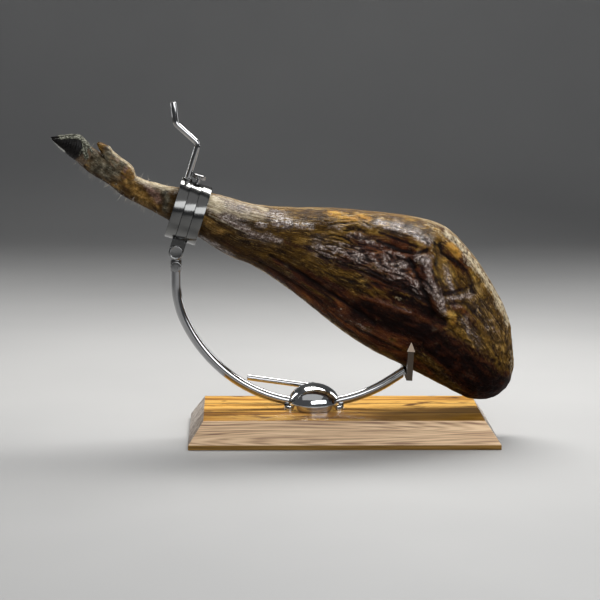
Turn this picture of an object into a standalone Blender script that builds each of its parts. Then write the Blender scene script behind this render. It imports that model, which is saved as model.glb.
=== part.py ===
"""A bone-in cured ham held by the shank in a tilting stand.

The origin is the middle of the board's underside. +X runs from the hoof to the butt,
+Y away from the carved face, +Z up. Lengths are in metres.
"""
import math

import bmesh
import bpy
import numpy as np
from mathutils import Matrix, Vector

MM = 0.001
GAP = 0.3 * MM

# Board
BOARD_LENGTH = 500 * MM
BOARD_DEPTH = 258 * MM
BOARD_HEIGHT = 43 * MM
BOARD_EDGE = 8 * MM
BOARD_BEVEL_RUN = 24 * MM

# Dome with the shoe that the arc slides in: a short straight wall under an elliptical crown
DOME_X = -45.5 * MM
DOME_RADIUS = 42.8 * MM
DOME_WALL = 8 * MM
DOME_CROWN = 33.3 * MM
DOME_STEPS = 32
SHOE_LENGTH = 98 * MM
SHOE_WIDTH = 40 * MM
SHOE_HEIGHT = 6.5 * MM
SHOE_CORNER = 9 * MM

# Arc: a round bar bent in circular stretches, as (degrees turned, radius) from its lowest
# point, with a straight end under the ham and another below the pivot
ARC_X = -46.0 * MM
ARC_LOW_Z = 51.4 * MM
ARC_RADIUS = 228 * MM
ARC_ROD = 7.9 * MM
ARC_RIGHT_BENDS = ((33.5, 228 * MM),)
ARC_LEFT_BENDS = ((35, 228 * MM), (30, 243 * MM), (25, 146 * MM))
ARC_RIGHT_RUN = 34 * MM
ARC_TOP_Z = 270.0 * MM
ARC_STEP_DEG = 4.4
CHANNEL_GAP = 0.45 * MM
CHANNEL_HALF_DEG = 16

# Cradle fork on the arc's low end
FORK_X = 106.5 * MM
FORK_Z = 100.0 * MM
FORK_LEAN_DEG = 2.6
FORK_HALF_SPAN = 58 * MM
FORK_BAR_WIDTH = 9.6 * MM
FORK_BAR_THICK = 8 * MM
FORK_PRONG_HEIGHT = 47 * MM
FORK_POINT_WIDTH = 13.4 * MM
FORK_POINT_HEIGHT = 15 * MM

# Locking lever behind the dome
LEVER_AXIS_Y = 45.5 * MM
LEVER_AXIS_Z = 70.8 * MM
LEVER_RADIUS = 5 * MM
LEVER_LENGTH = 110.5 * MM
LEVER_RISE_DEG = 7.9
LEVER_HUB_RADIUS = 6.2 * MM
LEVER_HUB_LENGTH = 11 * MM
LEVER_STUD_RADIUS = 4 * MM
LEVER_STUD_LENGTH = 20 * MM

# Ring clamp: its axis drops towards the butt
RING_X = -251.0 * MM
RING_Z = 367.3 * MM
RING_TILT_DEG = 17.2
RING_RADIUS = 49.1 * MM
RING_BORE = 42.8 * MM
RING_TUBE = 45.6 * MM
RING_LENGTH = 51 * MM
RING_STEPS = 40
HOUSING_HALF = 8.5 * MM
RING_CHAMFER = 0.9 * MM

# Lug under the housing, and the pivot that it turns on
PIVOT_DROP = 68.4 * MM
LUG_HALF_WIDTH = 11.7 * MM
LUG_HALF_DEPTH = 11 * MM
SLOT_HALF = 4.6 * MM
SLOT_CLEAR = 11.9 * MM
PIN_RADIUS = 4 * MM
PIN_HEAD_RADIUS = 11.8 * MM
PIN_HEAD_LENGTH = 4 * MM
PIN_NUT_RADIUS = 7 * MM

# Eye that joins the arc to the pivot
EYE_RADIUS = 9.2 * MM
EYE_BOTTOM = 270.4 * MM
EYE_SHOULDER_DROP = 12.6 * MM
TONGUE_HALF_THICK = 4.2 * MM
TONGUE_HALF_WIDTH = 8.2 * MM
SET_SCREW_Z = 278.5 * MM
SET_SCREW_RADIUS = 8.4 * MM
SET_SCREW_HEAD = 3.5 * MM
SET_SCREW_SHANK = 3 * MM
SET_SCREW_SOCKET = 3.4 * MM

# Clamping crank, along and across the screw's axis from the band's surface
CRANK_AXIAL = -17 * MM
CRANK_RADIUS = 4.8 * MM
CRANK_RISE = 61.3 * MM
CRANK_OFFSET = 44.5 * MM
CRANK_KNEE = 81.5 * MM
CRANK_END_OFFSET = 58.0 * MM
CRANK_END = 113.5 * MM
CRANK_BEND = 12 * MM
CRANK_TIP_RADIUS = 35.6 * MM
BOSS_RADIUS = 8.6 * MM
BOSS_HEIGHT = 3 * MM

# Brake screw on the housing
BRAKE_HEAD_RADIUS = 11 * MM
BRAKE_HEAD_BASE = 6.7 * MM
BRAKE_HEAD_TOP = 14.3 * MM
BRAKE_NECK = 3.2 * MM
BRAKE_FLUTES = 20
BRAKE_FLUTE_DEPTH = 0.6 * MM

# Ham: distances in millimetres along an axis that drops from the hoof to the butt
HOOF_X = -473.2 * MM
HOOF_Z = 486.7 * MM
HAM_DROP_DEG = 28.0
HAM_RINGS = 52
HAM_POINTS = 34
# place along the axis, top, bottom, half depth of the carved side, half depth of the rind
HAM_SHAPE = {
    "coronet": (40, 19, -9, 15, 15),
    "pastern": (78, 17, -19.5, 19, 19),
    "dewclaws": (122, 15, -23.2, 18, 18),
    "fetlock": (152, 10.5, -28.3, 19, 19),
    "shank": (200, 19.5, -27.6, 21, 21),
    "ring entry": (228, 29, -28.2, 24, 25),
    "ring exit": (278, 45.4, -29.5, 34, 34),
    "hock": (339, 60, -34.2, 42, 44),
    "calf": (384, 78, -29.6, 48, 52),
    "knee": (450, 112, -35, 57, 62),
    "lower thigh": (520, 142, -47.5, 62, 70),
    "thigh": (575, 163, -56.5, 65, 75),
    "hip": (628, 174.5, -61, 66, 77),
    "cradle": (690, 157.5, -58.6, 64, 75),
    "rump": (745, 128, -58.2, 58, 68),
    "aitch": (795, 92.5, -57.2, 48, 54),
    "butt": (827, 50, -45.5, 33, 37),
    "butt end": (842, 26, -30, 19, 21),
    "tip": (849, 3, -14, 7, 7),
}
HAM_LOW_TAPER = 0.2
HAM_FRONT_SQUARE = 0.84
# near claw, far claw: side offset, shift along the axis
CLAWS = ((-11.3, 4.0), (11.3, 0.0))
CLAW_SHAPE = (
    (0, 0.8, -0.6, 1.0),
    (8, 6.6, -3.6, 4.5),
    (18, 13.6, -7.0, 7.5),
    (30, 21.4, -9.6, 9.8),
    (41, 25.4, -11.4, 10.8),
    (52, 22.6, -13.0, 11.0),
    (62, 16.5, -13.5, 10.0),
    (70, 8.0, -9.0, 6.0),
)
DEWCLAW_SIDE = 9.0
DEWCLAW_SHAPE = (
    (71, 29.6, 27.6, 1.2),
    (78, 31.6, 21.5, 4.4),
    (88, 32.4, 16.0, 6.8),
    (100, 28.2, 9.0, 8.6),
    (112, 25.4, 4.0, 9.4),
    (126, 23.6, 1.0, 9.8),
    (138, 20.5, -2.0, 9.4),
    (146, 14.5, -5.0, 7.8),
    (152, 6.0, -6.0, 4.0),
)
# relief on the carved side: start, end, half width and height of each ridge or groove
RELIEF = {
    "aitchbone": ((606, 122), (690, 57), 13, 7.5),
    "aitch hollow": ((684, 42), (702, 44), 11, -9),
    "rump groove": ((636, 158), (712, 104), 7, -6),
    "muscle roll": ((528, 132), (612, 147), 12, 5),
    "roll groove": ((556, 108), (604, 118), 7, -5),
    "long muscle": ((420, 42), (640, 84), 16, 4),
    "shank tendon": ((300, 6), (430, 34), 11, 3),
    "low sinew": ((520, -30), (660, -26), 12, 3),
}


def clear_scene():
    for obj in list(bpy.data.objects):
        bpy.data.objects.remove(obj, do_unlink=True)


def new_collection(name):
    collection = bpy.data.collections.new(name)
    bpy.context.scene.collection.children.link(collection)
    return collection


def new_material(name, color, metallic, roughness):
    material = bpy.data.materials.new(name)
    material.use_nodes = True
    shader = material.node_tree.nodes["Principled BSDF"]
    shader.inputs["Base Color"].default_value = (*color, 1)
    shader.inputs["Metallic"].default_value = metallic
    shader.inputs["Roughness"].default_value = roughness
    return material


def add_object(name, mesh, collection, material=None, matrix=None):
    obj = bpy.data.objects.new(name, mesh)
    if matrix is not None:
        obj.matrix_world = matrix
    if material is not None:
        mesh.materials.append(material)
    collection.objects.link(obj)
    return obj


def mesh_from(name, verts, faces):
    mesh = bpy.data.meshes.new(name)
    mesh.from_pydata([tuple(v) for v in verts], [], faces)
    mesh.update()
    return mesh


def loft(name, rings):
    """Closed solid through rings of points that all run the same way."""
    count = len(rings[0])
    verts = [point for ring in rings for point in ring]
    faces = []
    for row in range(len(rings) - 1):
        for k in range(count):
            a = row * count + k
            b = row * count + (k + 1) % count
            faces.append((a, b, b + count, a + count))
    last = (len(rings) - 1) * count
    faces.append(tuple(reversed(range(count))))
    faces.append(tuple(range(last, last + count)))
    mesh = mesh_from(name, verts, faces)
    bm = bmesh.new()
    bm.from_mesh(mesh)
    bmesh.ops.recalc_face_normals(bm, faces=bm.faces)
    bm.to_mesh(mesh)
    bm.free()
    return mesh


def settle(obj):
    """Replace an object's mesh by the result of its modifiers."""
    graph = bpy.context.evaluated_depsgraph_get()
    mesh = bpy.data.meshes.new_from_object(obj.evaluated_get(graph))
    obj.modifiers.clear()
    obj.data = mesh
    return obj


def turned(name, profile, steps, collection, material=None, matrix=None, closed=False):
    """Body of revolution about local Z from (radius, height) points, top to bottom."""
    count = len(profile)
    verts = [(radius, 0, height) for radius, height in profile]
    edges = [(k, k + 1) for k in range(count - 1)]
    if closed:
        edges.append((count - 1, 0))
    mesh = bpy.data.meshes.new(name)
    mesh.from_pydata(verts, edges, [])
    obj = add_object(name, mesh, collection, material, matrix)
    screw = obj.modifiers.new("Screw", "SCREW")
    screw.axis = "Z"
    screw.steps = steps
    screw.render_steps = steps
    screw.use_merge_vertices = True
    screw.merge_threshold = 0.00001
    return settle(obj)


def cylinder(name, radius, low, high, steps, collection, material=None, matrix=None):
    profile = [(0, high), (radius, high), (radius, low), (0, low)]
    return turned(name, profile, steps, collection, material, matrix)


def block(name, low, high, collection, matrix=None):
    """Box between two corners."""
    mesh = bpy.data.meshes.new(name)
    bm = bmesh.new()
    bmesh.ops.create_cube(bm, size=1)
    size = Vector(high) - Vector(low)
    middle = (Vector(high) + Vector(low)) / 2
    bmesh.ops.scale(bm, vec=size, verts=bm.verts)
    bmesh.ops.translate(bm, vec=middle, verts=bm.verts)
    bm.to_mesh(mesh)
    bm.free()
    return add_object(name, mesh, collection, None, matrix)


def boolean(obj, operation, cutter):
    """Combine with a cutter, which stays hidden in its own collection."""
    cutter.display_type = "WIRE"
    cutter.hide_render = True
    modifier = obj.modifiers.new(operation.title(), "BOOLEAN")
    modifier.operation = operation
    modifier.solver = "EXACT"
    modifier.object = cutter


def smooth(obj, angle_deg=35):
    settle(obj)
    obj.data.shade_smooth()
    obj.data.set_sharp_from_angle(angle=math.radians(angle_deg))


def rounded_path(corners, bend, steps=6):
    """Points of a polyline whose inner corners are replaced by arcs."""
    points = [Vector(corners[0])]
    for before, corner, after in zip(corners, corners[1:], corners[2:]):
        corner = Vector(corner)
        to_before = (Vector(before) - corner).normalized()
        to_after = (Vector(after) - corner).normalized()
        half = to_before.angle(to_after) / 2
        reach = bend / math.tan(half)
        centre = corner + (to_before + to_after).normalized() * (bend / math.sin(half))
        start = corner + to_before * reach - centre
        turn = start.rotation_difference(corner + to_after * reach - centre)
        for k in range(steps + 1):
            part = turn.copy()
            part.angle = turn.angle * k / steps
            points.append(centre + part @ start)
    points.append(Vector(corners[-1]))
    return points


def rod(name, points, radius, resolution, collection, material=None, matrix=None):
    """Round bar along a path, as a closed mesh."""
    curve = bpy.data.curves.new(name, "CURVE")
    curve.dimensions = "3D"
    curve.bevel_depth = radius
    curve.bevel_resolution = resolution
    curve.use_fill_caps = True
    spline = curve.splines.new("POLY")
    spline.points.add(len(points) - 1)
    for target, point in zip(spline.points, points):
        target.co = (*point, 1)
    holder = bpy.data.objects.new(name + "_path", curve)
    collection.objects.link(holder)
    graph = bpy.context.evaluated_depsgraph_get()
    mesh = bpy.data.meshes.new_from_object(holder.evaluated_get(graph))
    bpy.data.objects.remove(holder, do_unlink=True)
    bm = bmesh.new()
    bm.from_mesh(mesh)
    bmesh.ops.remove_doubles(bm, verts=bm.verts, dist=0.00001)
    bmesh.ops.recalc_face_normals(bm, faces=bm.faces)
    bm.to_mesh(mesh)
    bm.free()
    mesh.name = name
    return add_object(name, mesh, collection, material, matrix)


def frame_matrix(origin, x_axis, z_axis):
    """Placement whose local X and Z run along the two given directions."""
    x_axis = Vector(x_axis).normalized()
    z_axis = Vector(z_axis).normalized()
    y_axis = z_axis.cross(x_axis)
    matrix = Matrix((x_axis, y_axis, z_axis)).transposed().to_4x4()
    matrix.translation = Vector(origin)
    return matrix


def ring_directions():
    """The ring's axis towards the butt, and its radial direction at the top."""
    tilt = math.radians(RING_TILT_DEG)
    axis = Vector((math.cos(tilt), 0, -math.sin(tilt)))
    radial = Vector((math.sin(tilt), 0, math.cos(tilt)))
    return axis, radial


def ring_point(axial, radial):
    """World point at a distance along the ring's axis and above it."""
    axis, up = ring_directions()
    return Vector((RING_X, 0, RING_Z)) + axis * axial + up * radial


def ring_matrix():
    """Local Z along the ring's axis, local X up the radius."""
    axis, up = ring_directions()
    return frame_matrix(ring_point(0, 0), up, axis)


def screw_matrix(axial):
    """Origin on the ring's surface, local Z outwards, local X along the ring's axis."""
    axis, up = ring_directions()
    return frame_matrix(ring_point(axial, RING_RADIUS), axis, up)


def pivot_point():
    return ring_point(0, -PIVOT_DROP)


def cross_matrix(origin):
    """Local Z towards the viewer's side (-Y), local X along +X."""
    return frame_matrix(origin, (1, 0, 0), (0, -1, 0))


def make_board(parts, material):
    def rectangle(length, depth, height):
        x = length / 2
        y = depth / 2
        return [(-x, -y, height), (x, -y, height), (x, y, height), (-x, y, height)]

    top_length = BOARD_LENGTH - 2 * BOARD_BEVEL_RUN
    top_depth = BOARD_DEPTH - 2 * BOARD_BEVEL_RUN
    rings = [
        rectangle(BOARD_LENGTH, BOARD_DEPTH, 0),
        rectangle(BOARD_LENGTH, BOARD_DEPTH, BOARD_EDGE),
        rectangle(top_length, top_depth, BOARD_HEIGHT),
    ]
    return add_object("board", loft("board", rings), parts, material)


def shoe_mesh(name):
    """Flat shoe with rounded corners, lying on the board under the arc."""
    points = []
    x = SHOE_LENGTH / 2 - SHOE_CORNER
    y = SHOE_WIDTH / 2 - SHOE_CORNER
    for quarter, (sx, sy) in enumerate(((1, 1), (-1, 1), (-1, -1), (1, -1))):
        for k in range(5):
            angle = math.radians(90 * quarter + 22.5 * k)
            points.append((sx * x + SHOE_CORNER * math.cos(angle),
                           sy * y + SHOE_CORNER * math.sin(angle)))
    base = BOARD_HEIGHT + GAP / 10
    rings = [[(px, py, height) for px, py in points] for height in (base, base + SHOE_HEIGHT)]
    return loft(name, rings)


def make_dome(parts, cutters, material):
    base = BOARD_HEIGHT + GAP / 10
    rows = DOME_STEPS // 4
    shoulder = base + DOME_WALL
    profile = [(0, shoulder + DOME_CROWN)]
    for k in range(1, rows + 1):
        angle = math.pi / 2 * (1 - k / rows)
        profile.append((DOME_RADIUS * math.cos(angle), shoulder + DOME_CROWN * math.sin(angle)))
    profile += [(DOME_RADIUS, base), (0, base)]
    place = Matrix.Translation((DOME_X, 0, 0))
    dome = turned("dome", profile, DOME_STEPS, parts, material, place)
    shoe = add_object("shoe_form", shoe_mesh("shoe_form"), cutters, None, place)
    channel = rod("arc_channel", channel_path(), ARC_ROD + CHANNEL_GAP, 2, cutters)
    half_slot = ARC_ROD * 0.7
    slot = block("channel_slot", (-SHOE_LENGTH, -half_slot, base - 2 * MM),
                 (SHOE_LENGTH, half_slot, base + 4 * MM), cutters, place)
    hole_place = cross_matrix((DOME_X, LEVER_AXIS_Y, LEVER_AXIS_Z))
    hole = cylinder("stud_hole", LEVER_STUD_RADIUS + GAP, 0, LEVER_STUD_LENGTH + 2 * MM, 16,
                    cutters, None, hole_place)
    boolean(dome, "UNION", shoe)
    boolean(dome, "DIFFERENCE", channel)
    boolean(dome, "DIFFERENCE", slot)
    boolean(dome, "DIFFERENCE", hole)
    smooth(dome, 30)
    return dome


def bent_points(bends, side):
    """Points of the arc from just beside its lowest point, towards side -1 or +1."""
    x = ARC_X
    z = ARC_LOW_Z
    turned_deg = 0
    points = []
    for turn_deg, radius in bends:
        steps = math.ceil(turn_deg / ARC_STEP_DEG)
        for k in range(1, steps + 1):
            start = math.radians(turned_deg)
            end = math.radians(turned_deg + turn_deg * k / steps)
            points.append(Vector((x + side * radius * (math.sin(end) - math.sin(start)), 0,
                                  z + radius * (math.cos(start) - math.cos(end)))))
        x = points[-1].x
        z = points[-1].z
        turned_deg += turn_deg
    return points


def arc_path():
    left = bent_points(ARC_LEFT_BENDS, -1)
    left.append(Vector((left[-1].x, 0, ARC_TOP_Z)))
    right = bent_points(ARC_RIGHT_BENDS, 1)
    heading = math.radians(sum(turn_deg for turn_deg, radius in ARC_RIGHT_BENDS))
    right.append(right[-1] + Vector((math.cos(heading), 0, math.sin(heading))) * ARC_RIGHT_RUN)
    return left[::-1] + [Vector((ARC_X, 0, ARC_LOW_Z))] + right


def channel_path():
    """The part of the arc's circle that lies in the dome."""
    bend = ((CHANNEL_HALF_DEG, ARC_RADIUS),)
    return bent_points(bend, -1)[::-1] + [Vector((ARC_X, 0, ARC_LOW_Z))] + bent_points(bend, 1)


def make_arc(parts, cutters, material):
    arc = rod("arc_rod", arc_path(), ARC_ROD, 2, parts, material)
    left_face = FORK_X - FORK_BAR_WIDTH / 2 - GAP
    trim = block("arc_trim", (left_face, -20 * MM, 60 * MM), (left_face + 60 * MM, 20 * MM, 160 * MM),
                 cutters)
    boolean(arc, "DIFFERENCE", trim)
    smooth(arc, 40)
    return arc


def fork_prong(name, side, cutters, matrix):
    """One upright with its four-sided point, in the fork's own frame."""
    half_x = FORK_BAR_WIDTH / 2
    half_y = FORK_BAR_THICK / 2
    point_x = FORK_POINT_WIDTH / 2
    point_y = FORK_BAR_THICK / 2 + 1 * MM
    y = side * FORK_HALF_SPAN

    def square(x, depth, height):
        return [(-x, y - depth, height), (x, y - depth, height),
                (x, y + depth, height), (-x, y + depth, height)]

    neck = FORK_PRONG_HEIGHT
    rings = [
        square(half_x, half_y, 0),
        square(half_x, half_y, neck),
        square(point_x, point_y, neck + 0.5 * MM),
        square(0.3 * MM, 0.3 * MM, neck + FORK_POINT_HEIGHT),
    ]
    return add_object(name, loft(name, rings), cutters, None, matrix)


def make_fork(parts, cutters, material):
    lean = math.radians(FORK_LEAN_DEG)
    matrix = frame_matrix((FORK_X, 0, FORK_Z), (math.cos(lean), 0, -math.sin(lean)),
                          (math.sin(lean), 0, math.cos(lean)))
    half_x = FORK_BAR_WIDTH / 2
    half_y = FORK_HALF_SPAN + FORK_BAR_THICK / 2
    fork = block("cradle_fork", (-half_x, -half_y, 0), (half_x, half_y, FORK_BAR_THICK), parts, matrix)
    fork.data.materials.append(material)
    for name, side in (("near_prong", -1), ("far_prong", 1)):
        boolean(fork, "UNION", fork_prong(name, side, cutters, matrix))
    settle(fork)
    bevel = fork.modifiers.new("Bevel", "BEVEL")
    bevel.width = 1.2 * MM
    bevel.segments = 1
    bevel.limit_method = "ANGLE"
    bevel.angle_limit = math.radians(50)
    bevel.use_clamp_overlap = True
    return fork


def make_lever(parts, cutters, material):
    matrix = cross_matrix((DOME_X, LEVER_AXIS_Y, LEVER_AXIS_Z))
    half = LEVER_HUB_LENGTH / 2
    profile = [
        (0, half + LEVER_STUD_LENGTH - 4 * MM),
        (LEVER_STUD_RADIUS, half + LEVER_STUD_LENGTH - 4 * MM),
        (LEVER_STUD_RADIUS, half),
        (LEVER_HUB_RADIUS, half),
        (LEVER_HUB_RADIUS, -half),
        (0, -half),
    ]
    lever = turned("lock_lever", profile, 20, parts, material, matrix)
    rise = math.radians(LEVER_RISE_DEG)
    out = Vector((-math.cos(rise), 0, math.sin(rise)))
    start = Vector((DOME_X, LEVER_AXIS_Y, LEVER_AXIS_Z))
    bar_matrix = frame_matrix(start, (0, 1, 0), out)
    profile = [
        (0, LEVER_LENGTH),
        (LEVER_RADIUS - 0.8 * MM, LEVER_LENGTH),
        (LEVER_RADIUS, LEVER_LENGTH - 0.8 * MM),
        (LEVER_RADIUS, 0.5 * MM),
        (0, 0.5 * MM),
    ]
    bar = turned("lever_bar", profile, 16, cutters, None, bar_matrix)
    boolean(lever, "UNION", bar)
    smooth(lever, 35)
    return lever


def band_profile(inner, low, high):
    """Closed cross-section of a chamfered band, from the outer top corner round."""
    chamfer = RING_CHAMFER
    return [
        (RING_RADIUS - chamfer, high),
        (RING_RADIUS, high - chamfer),
        (RING_RADIUS, low + chamfer),
        (RING_RADIUS - chamfer, low),
        (inner, low),
        (inner, high),
    ]


def make_sleeve(parts, cutters, material):
    """Inner tube with the left band, which carries the clamping crank."""
    half = RING_LENGTH / 2
    shoulder = -HOUSING_HALF - GAP / 2
    chamfer = RING_CHAMFER
    profile = [
        (RING_TUBE, half),
        (RING_TUBE, shoulder),
        (RING_RADIUS - chamfer / 2, shoulder),
        (RING_RADIUS, shoulder - chamfer / 2),
        (RING_RADIUS, chamfer - half),
        (RING_RADIUS - chamfer, -half),
        (RING_BORE, -half),
        (RING_BORE, half),
    ]
    sleeve = turned("clamp_sleeve", profile, RING_STEPS, parts, material, ring_matrix(), closed=True)
    matrix = screw_matrix(CRANK_AXIAL)
    boss_profile = [
        (0, BOSS_HEIGHT),
        (BOSS_RADIUS - 1 * MM, BOSS_HEIGHT),
        (BOSS_RADIUS, BOSS_HEIGHT - 1 * MM),
        (BOSS_RADIUS, -3 * MM),
        (0, -3 * MM),
    ]
    boss = turned("crank_boss", boss_profile, 20, cutters, None, matrix)
    hole = cylinder("crank_hole", CRANK_RADIUS + GAP, -12 * MM, 8 * MM, 16, cutters, None, matrix)
    boolean(sleeve, "UNION", boss)
    boolean(sleeve, "DIFFERENCE", hole)
    smooth(sleeve)
    return sleeve


def make_retaining_band(parts, material):
    half = RING_LENGTH / 2
    profile = band_profile(RING_TUBE + GAP, HOUSING_HALF + GAP / 2, half)
    band = turned("retaining_band", profile, RING_STEPS, parts, material, ring_matrix(), closed=True)
    smooth(band)
    return band


def make_housing(parts, cutters, material):
    """Middle band with the forked lug that hangs on the pivot."""
    profile = band_profile(RING_TUBE + GAP, GAP / 2 - HOUSING_HALF, HOUSING_HALF - GAP / 2)
    matrix = ring_matrix()
    housing = turned("swivel_housing", profile, RING_STEPS, parts, material, matrix, closed=True)
    root = block("lug_root", (-52 * MM, -LUG_HALF_DEPTH, GAP - HOUSING_HALF),
                 (-47.2 * MM, LUG_HALF_DEPTH, HOUSING_HALF - GAP), cutters, matrix)
    body = block("lug_body", (-PIVOT_DROP, -LUG_HALF_DEPTH, -LUG_HALF_WIDTH),
                 (-50.4 * MM, LUG_HALF_DEPTH, LUG_HALF_WIDTH), cutters, matrix)
    pivot_place = cross_matrix(pivot_point())
    end = cylinder("lug_end", LUG_HALF_WIDTH, -LUG_HALF_DEPTH + 0.05 * MM, LUG_HALF_DEPTH - 0.05 * MM,
                   24, cutters, None, pivot_place)
    slot = block("lug_slot", (-PIVOT_DROP - 30 * MM, -SLOT_HALF, -20 * MM),
                 (SLOT_CLEAR - PIVOT_DROP, SLOT_HALF, 20 * MM), cutters, matrix)
    pin_hole = cylinder("lug_pin_hole", PIN_RADIUS + GAP, -20 * MM, 20 * MM, 16, cutters, None,
                        pivot_place)
    brake_hole = cylinder("brake_hole", BRAKE_NECK + GAP, -8 * MM, 4 * MM, 12, cutters, None,
                          screw_matrix(0))
    boolean(housing, "UNION", root)
    boolean(housing, "UNION", body)
    boolean(housing, "UNION", end)
    boolean(housing, "DIFFERENCE", slot)
    boolean(housing, "DIFFERENCE", pin_hole)
    boolean(housing, "DIFFERENCE", brake_hole)
    smooth(housing)
    return housing


def make_pin(parts, material):
    face = LUG_HALF_DEPTH + GAP
    head = face + PIN_HEAD_LENGTH
    profile = [
        (0, head),
        (PIN_HEAD_RADIUS - 1.4 * MM, head),
        (PIN_HEAD_RADIUS, head - 1.2 * MM),
        (PIN_HEAD_RADIUS, face),
        (PIN_RADIUS, face),
        (PIN_RADIUS, -face),
        (PIN_NUT_RADIUS, -face),
        (PIN_NUT_RADIUS, -face - 4 * MM),
        (0, -face - 4 * MM),
    ]
    pin = turned("pivot_pin", profile, 24, parts, material, cross_matrix(pivot_point()))
    smooth(pin, 30)
    return pin


def make_eye(parts, cutters, material):
    """Round fitting on the arc's end whose flat tongue takes the pivot pin."""
    pivot = pivot_point()
    shoulder = pivot.z - EYE_SHOULDER_DROP
    place = Matrix.Translation((pivot.x, 0, 0))
    profile = [
        (0, shoulder),
        (EYE_RADIUS - 1 * MM, shoulder),
        (EYE_RADIUS, shoulder - 1 * MM),
        (EYE_RADIUS, EYE_BOTTOM),
        (0, EYE_BOTTOM),
    ]
    eye = turned("arc_eye", profile, 24, parts, material, place)
    tongue = block("tongue", (-TONGUE_HALF_WIDTH, -TONGUE_HALF_THICK, shoulder - 4 * MM),
                   (TONGUE_HALF_WIDTH, TONGUE_HALF_THICK, pivot.z), cutters, place)
    pivot_place = cross_matrix(pivot)
    top = cylinder("tongue_top", TONGUE_HALF_WIDTH, -TONGUE_HALF_THICK, TONGUE_HALF_THICK, 24,
                   cutters, None, pivot_place)
    pin_hole = cylinder("eye_pin_hole", PIN_RADIUS + GAP, -9 * MM, 9 * MM, 16, cutters, None,
                        pivot_place)
    screw_place = cross_matrix((pivot.x, 0, SET_SCREW_Z))
    screw_hole = cylinder("set_screw_hole", SET_SCREW_SHANK + GAP, 2 * MM, 12 * MM, 12, cutters,
                          None, screw_place)
    boolean(eye, "UNION", tongue)
    boolean(eye, "UNION", top)
    boolean(eye, "DIFFERENCE", pin_hole)
    boolean(eye, "DIFFERENCE", screw_hole)
    smooth(eye)
    return eye


def make_set_screw(parts, cutters, material):
    face = EYE_RADIUS + GAP
    head = face + SET_SCREW_HEAD
    profile = [
        (0, head),
        (SET_SCREW_RADIUS - 1 * MM, head),
        (SET_SCREW_RADIUS, head - 1 * MM),
        (SET_SCREW_RADIUS, face),
        (SET_SCREW_SHANK, face),
        (SET_SCREW_SHANK, 3 * MM),
        (0, 3 * MM),
    ]
    matrix = cross_matrix((pivot_point().x, 0, SET_SCREW_Z))
    screw = turned("set_screw", profile, 24, parts, material, matrix)
    socket = cylinder("hex_socket", SET_SCREW_SOCKET, head - 2.4 * MM, head + 2 * MM, 6, cutters,
                      None, matrix)
    boolean(screw, "DIFFERENCE", socket)
    smooth(screw, 30)
    return screw


def make_crank(parts, material):
    corners = [
        (0, 0, CRANK_TIP_RADIUS - RING_RADIUS),
        (0, 0, CRANK_RISE),
        (-CRANK_OFFSET, 0, CRANK_KNEE),
        (-CRANK_END_OFFSET, 0, CRANK_END),
    ]
    path = rounded_path(corners, CRANK_BEND)
    crank = rod("clamp_crank", path, CRANK_RADIUS, 2, parts, material, screw_matrix(CRANK_AXIAL))
    smooth(crank, 40)
    return crank


def make_brake_screw(parts, cutters, material):
    matrix = screw_matrix(0)
    tip = RING_TUBE + 2 * GAP - RING_RADIUS
    profile = [
        (0, BRAKE_HEAD_BASE + 0.5 * MM),
        (BRAKE_NECK, BRAKE_HEAD_BASE + 0.5 * MM),
        (BRAKE_NECK, tip),
        (0, tip),
    ]
    screw = turned("brake_screw", profile, 12, parts, material, matrix)
    chamfer = 1 * MM

    def fluted(height, inset):
        ring = []
        for k in range(2 * BRAKE_FLUTES):
            radius = BRAKE_HEAD_RADIUS - inset - (k % 2) * BRAKE_FLUTE_DEPTH
            angle = math.pi * k / BRAKE_FLUTES
            ring.append((radius * math.cos(angle), radius * math.sin(angle), height))
        return ring

    rings = [
        fluted(BRAKE_HEAD_BASE, chamfer),
        fluted(BRAKE_HEAD_BASE + chamfer, 0),
        fluted(BRAKE_HEAD_TOP - chamfer, 0),
        fluted(BRAKE_HEAD_TOP, chamfer),
    ]
    head = add_object("brake_head", loft("brake_head", rings), cutters, None, matrix)
    boolean(screw, "UNION", head)
    return settle(screw)


def slopes(x, y):
    """Monotone cubic slopes, so that a profile never overshoots its named sizes."""
    width = np.diff(x)
    rise = np.diff(y) / width
    slope = np.zeros(len(x))
    for k in range(1, len(x) - 1):
        if rise[k - 1] * rise[k] > 0:
            w1 = 2 * width[k] + width[k - 1]
            w2 = width[k] + 2 * width[k - 1]
            slope[k] = (w1 + w2) / (w1 / rise[k - 1] + w2 / rise[k])
    slope[0] = rise[0]
    slope[-1] = rise[-1]
    return slope


def along(x, y, at):
    """Value of a smooth profile through (x, y) at the given place."""
    x = np.asarray(x, float)
    y = np.asarray(y, float)
    slope = slopes(x, y)
    k = int(np.clip(np.searchsorted(x, at) - 1, 0, len(x) - 2))
    width = x[k + 1] - x[k]
    u = (at - x[k]) / width
    start = (1 + 2 * u) * (1 - u) ** 2 * y[k] + u * (1 - u) ** 2 * width * slope[k]
    finish = u * u * (3 - 2 * u) * y[k + 1] - u * u * (1 - u) * width * slope[k + 1]
    return start + finish


def ham_point(place, height, side):
    """World point from millimetres along, above and beside the ham's axis."""
    drop = math.radians(HAM_DROP_DEG)
    x = HOOF_X + (place * math.cos(drop) + height * math.sin(drop)) * MM
    z = HOOF_Z + (height * math.cos(drop) - place * math.sin(drop)) * MM
    return Vector((x, side * MM, z))


def relief_at(place, height):
    """Height of the carved side's ridges and grooves, in millimetres."""
    total = 0.0
    here = Vector((place, height))
    for start, end, half_width, rise in RELIEF.values():
        start = Vector(start)
        run = Vector(end) - start
        u = min(1.0, max(0.0, (here - start).dot(run) / run.length_squared))
        distance = (here - start - run * u).length
        total += rise * math.exp(-((distance / half_width) ** 2))
    return total


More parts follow.
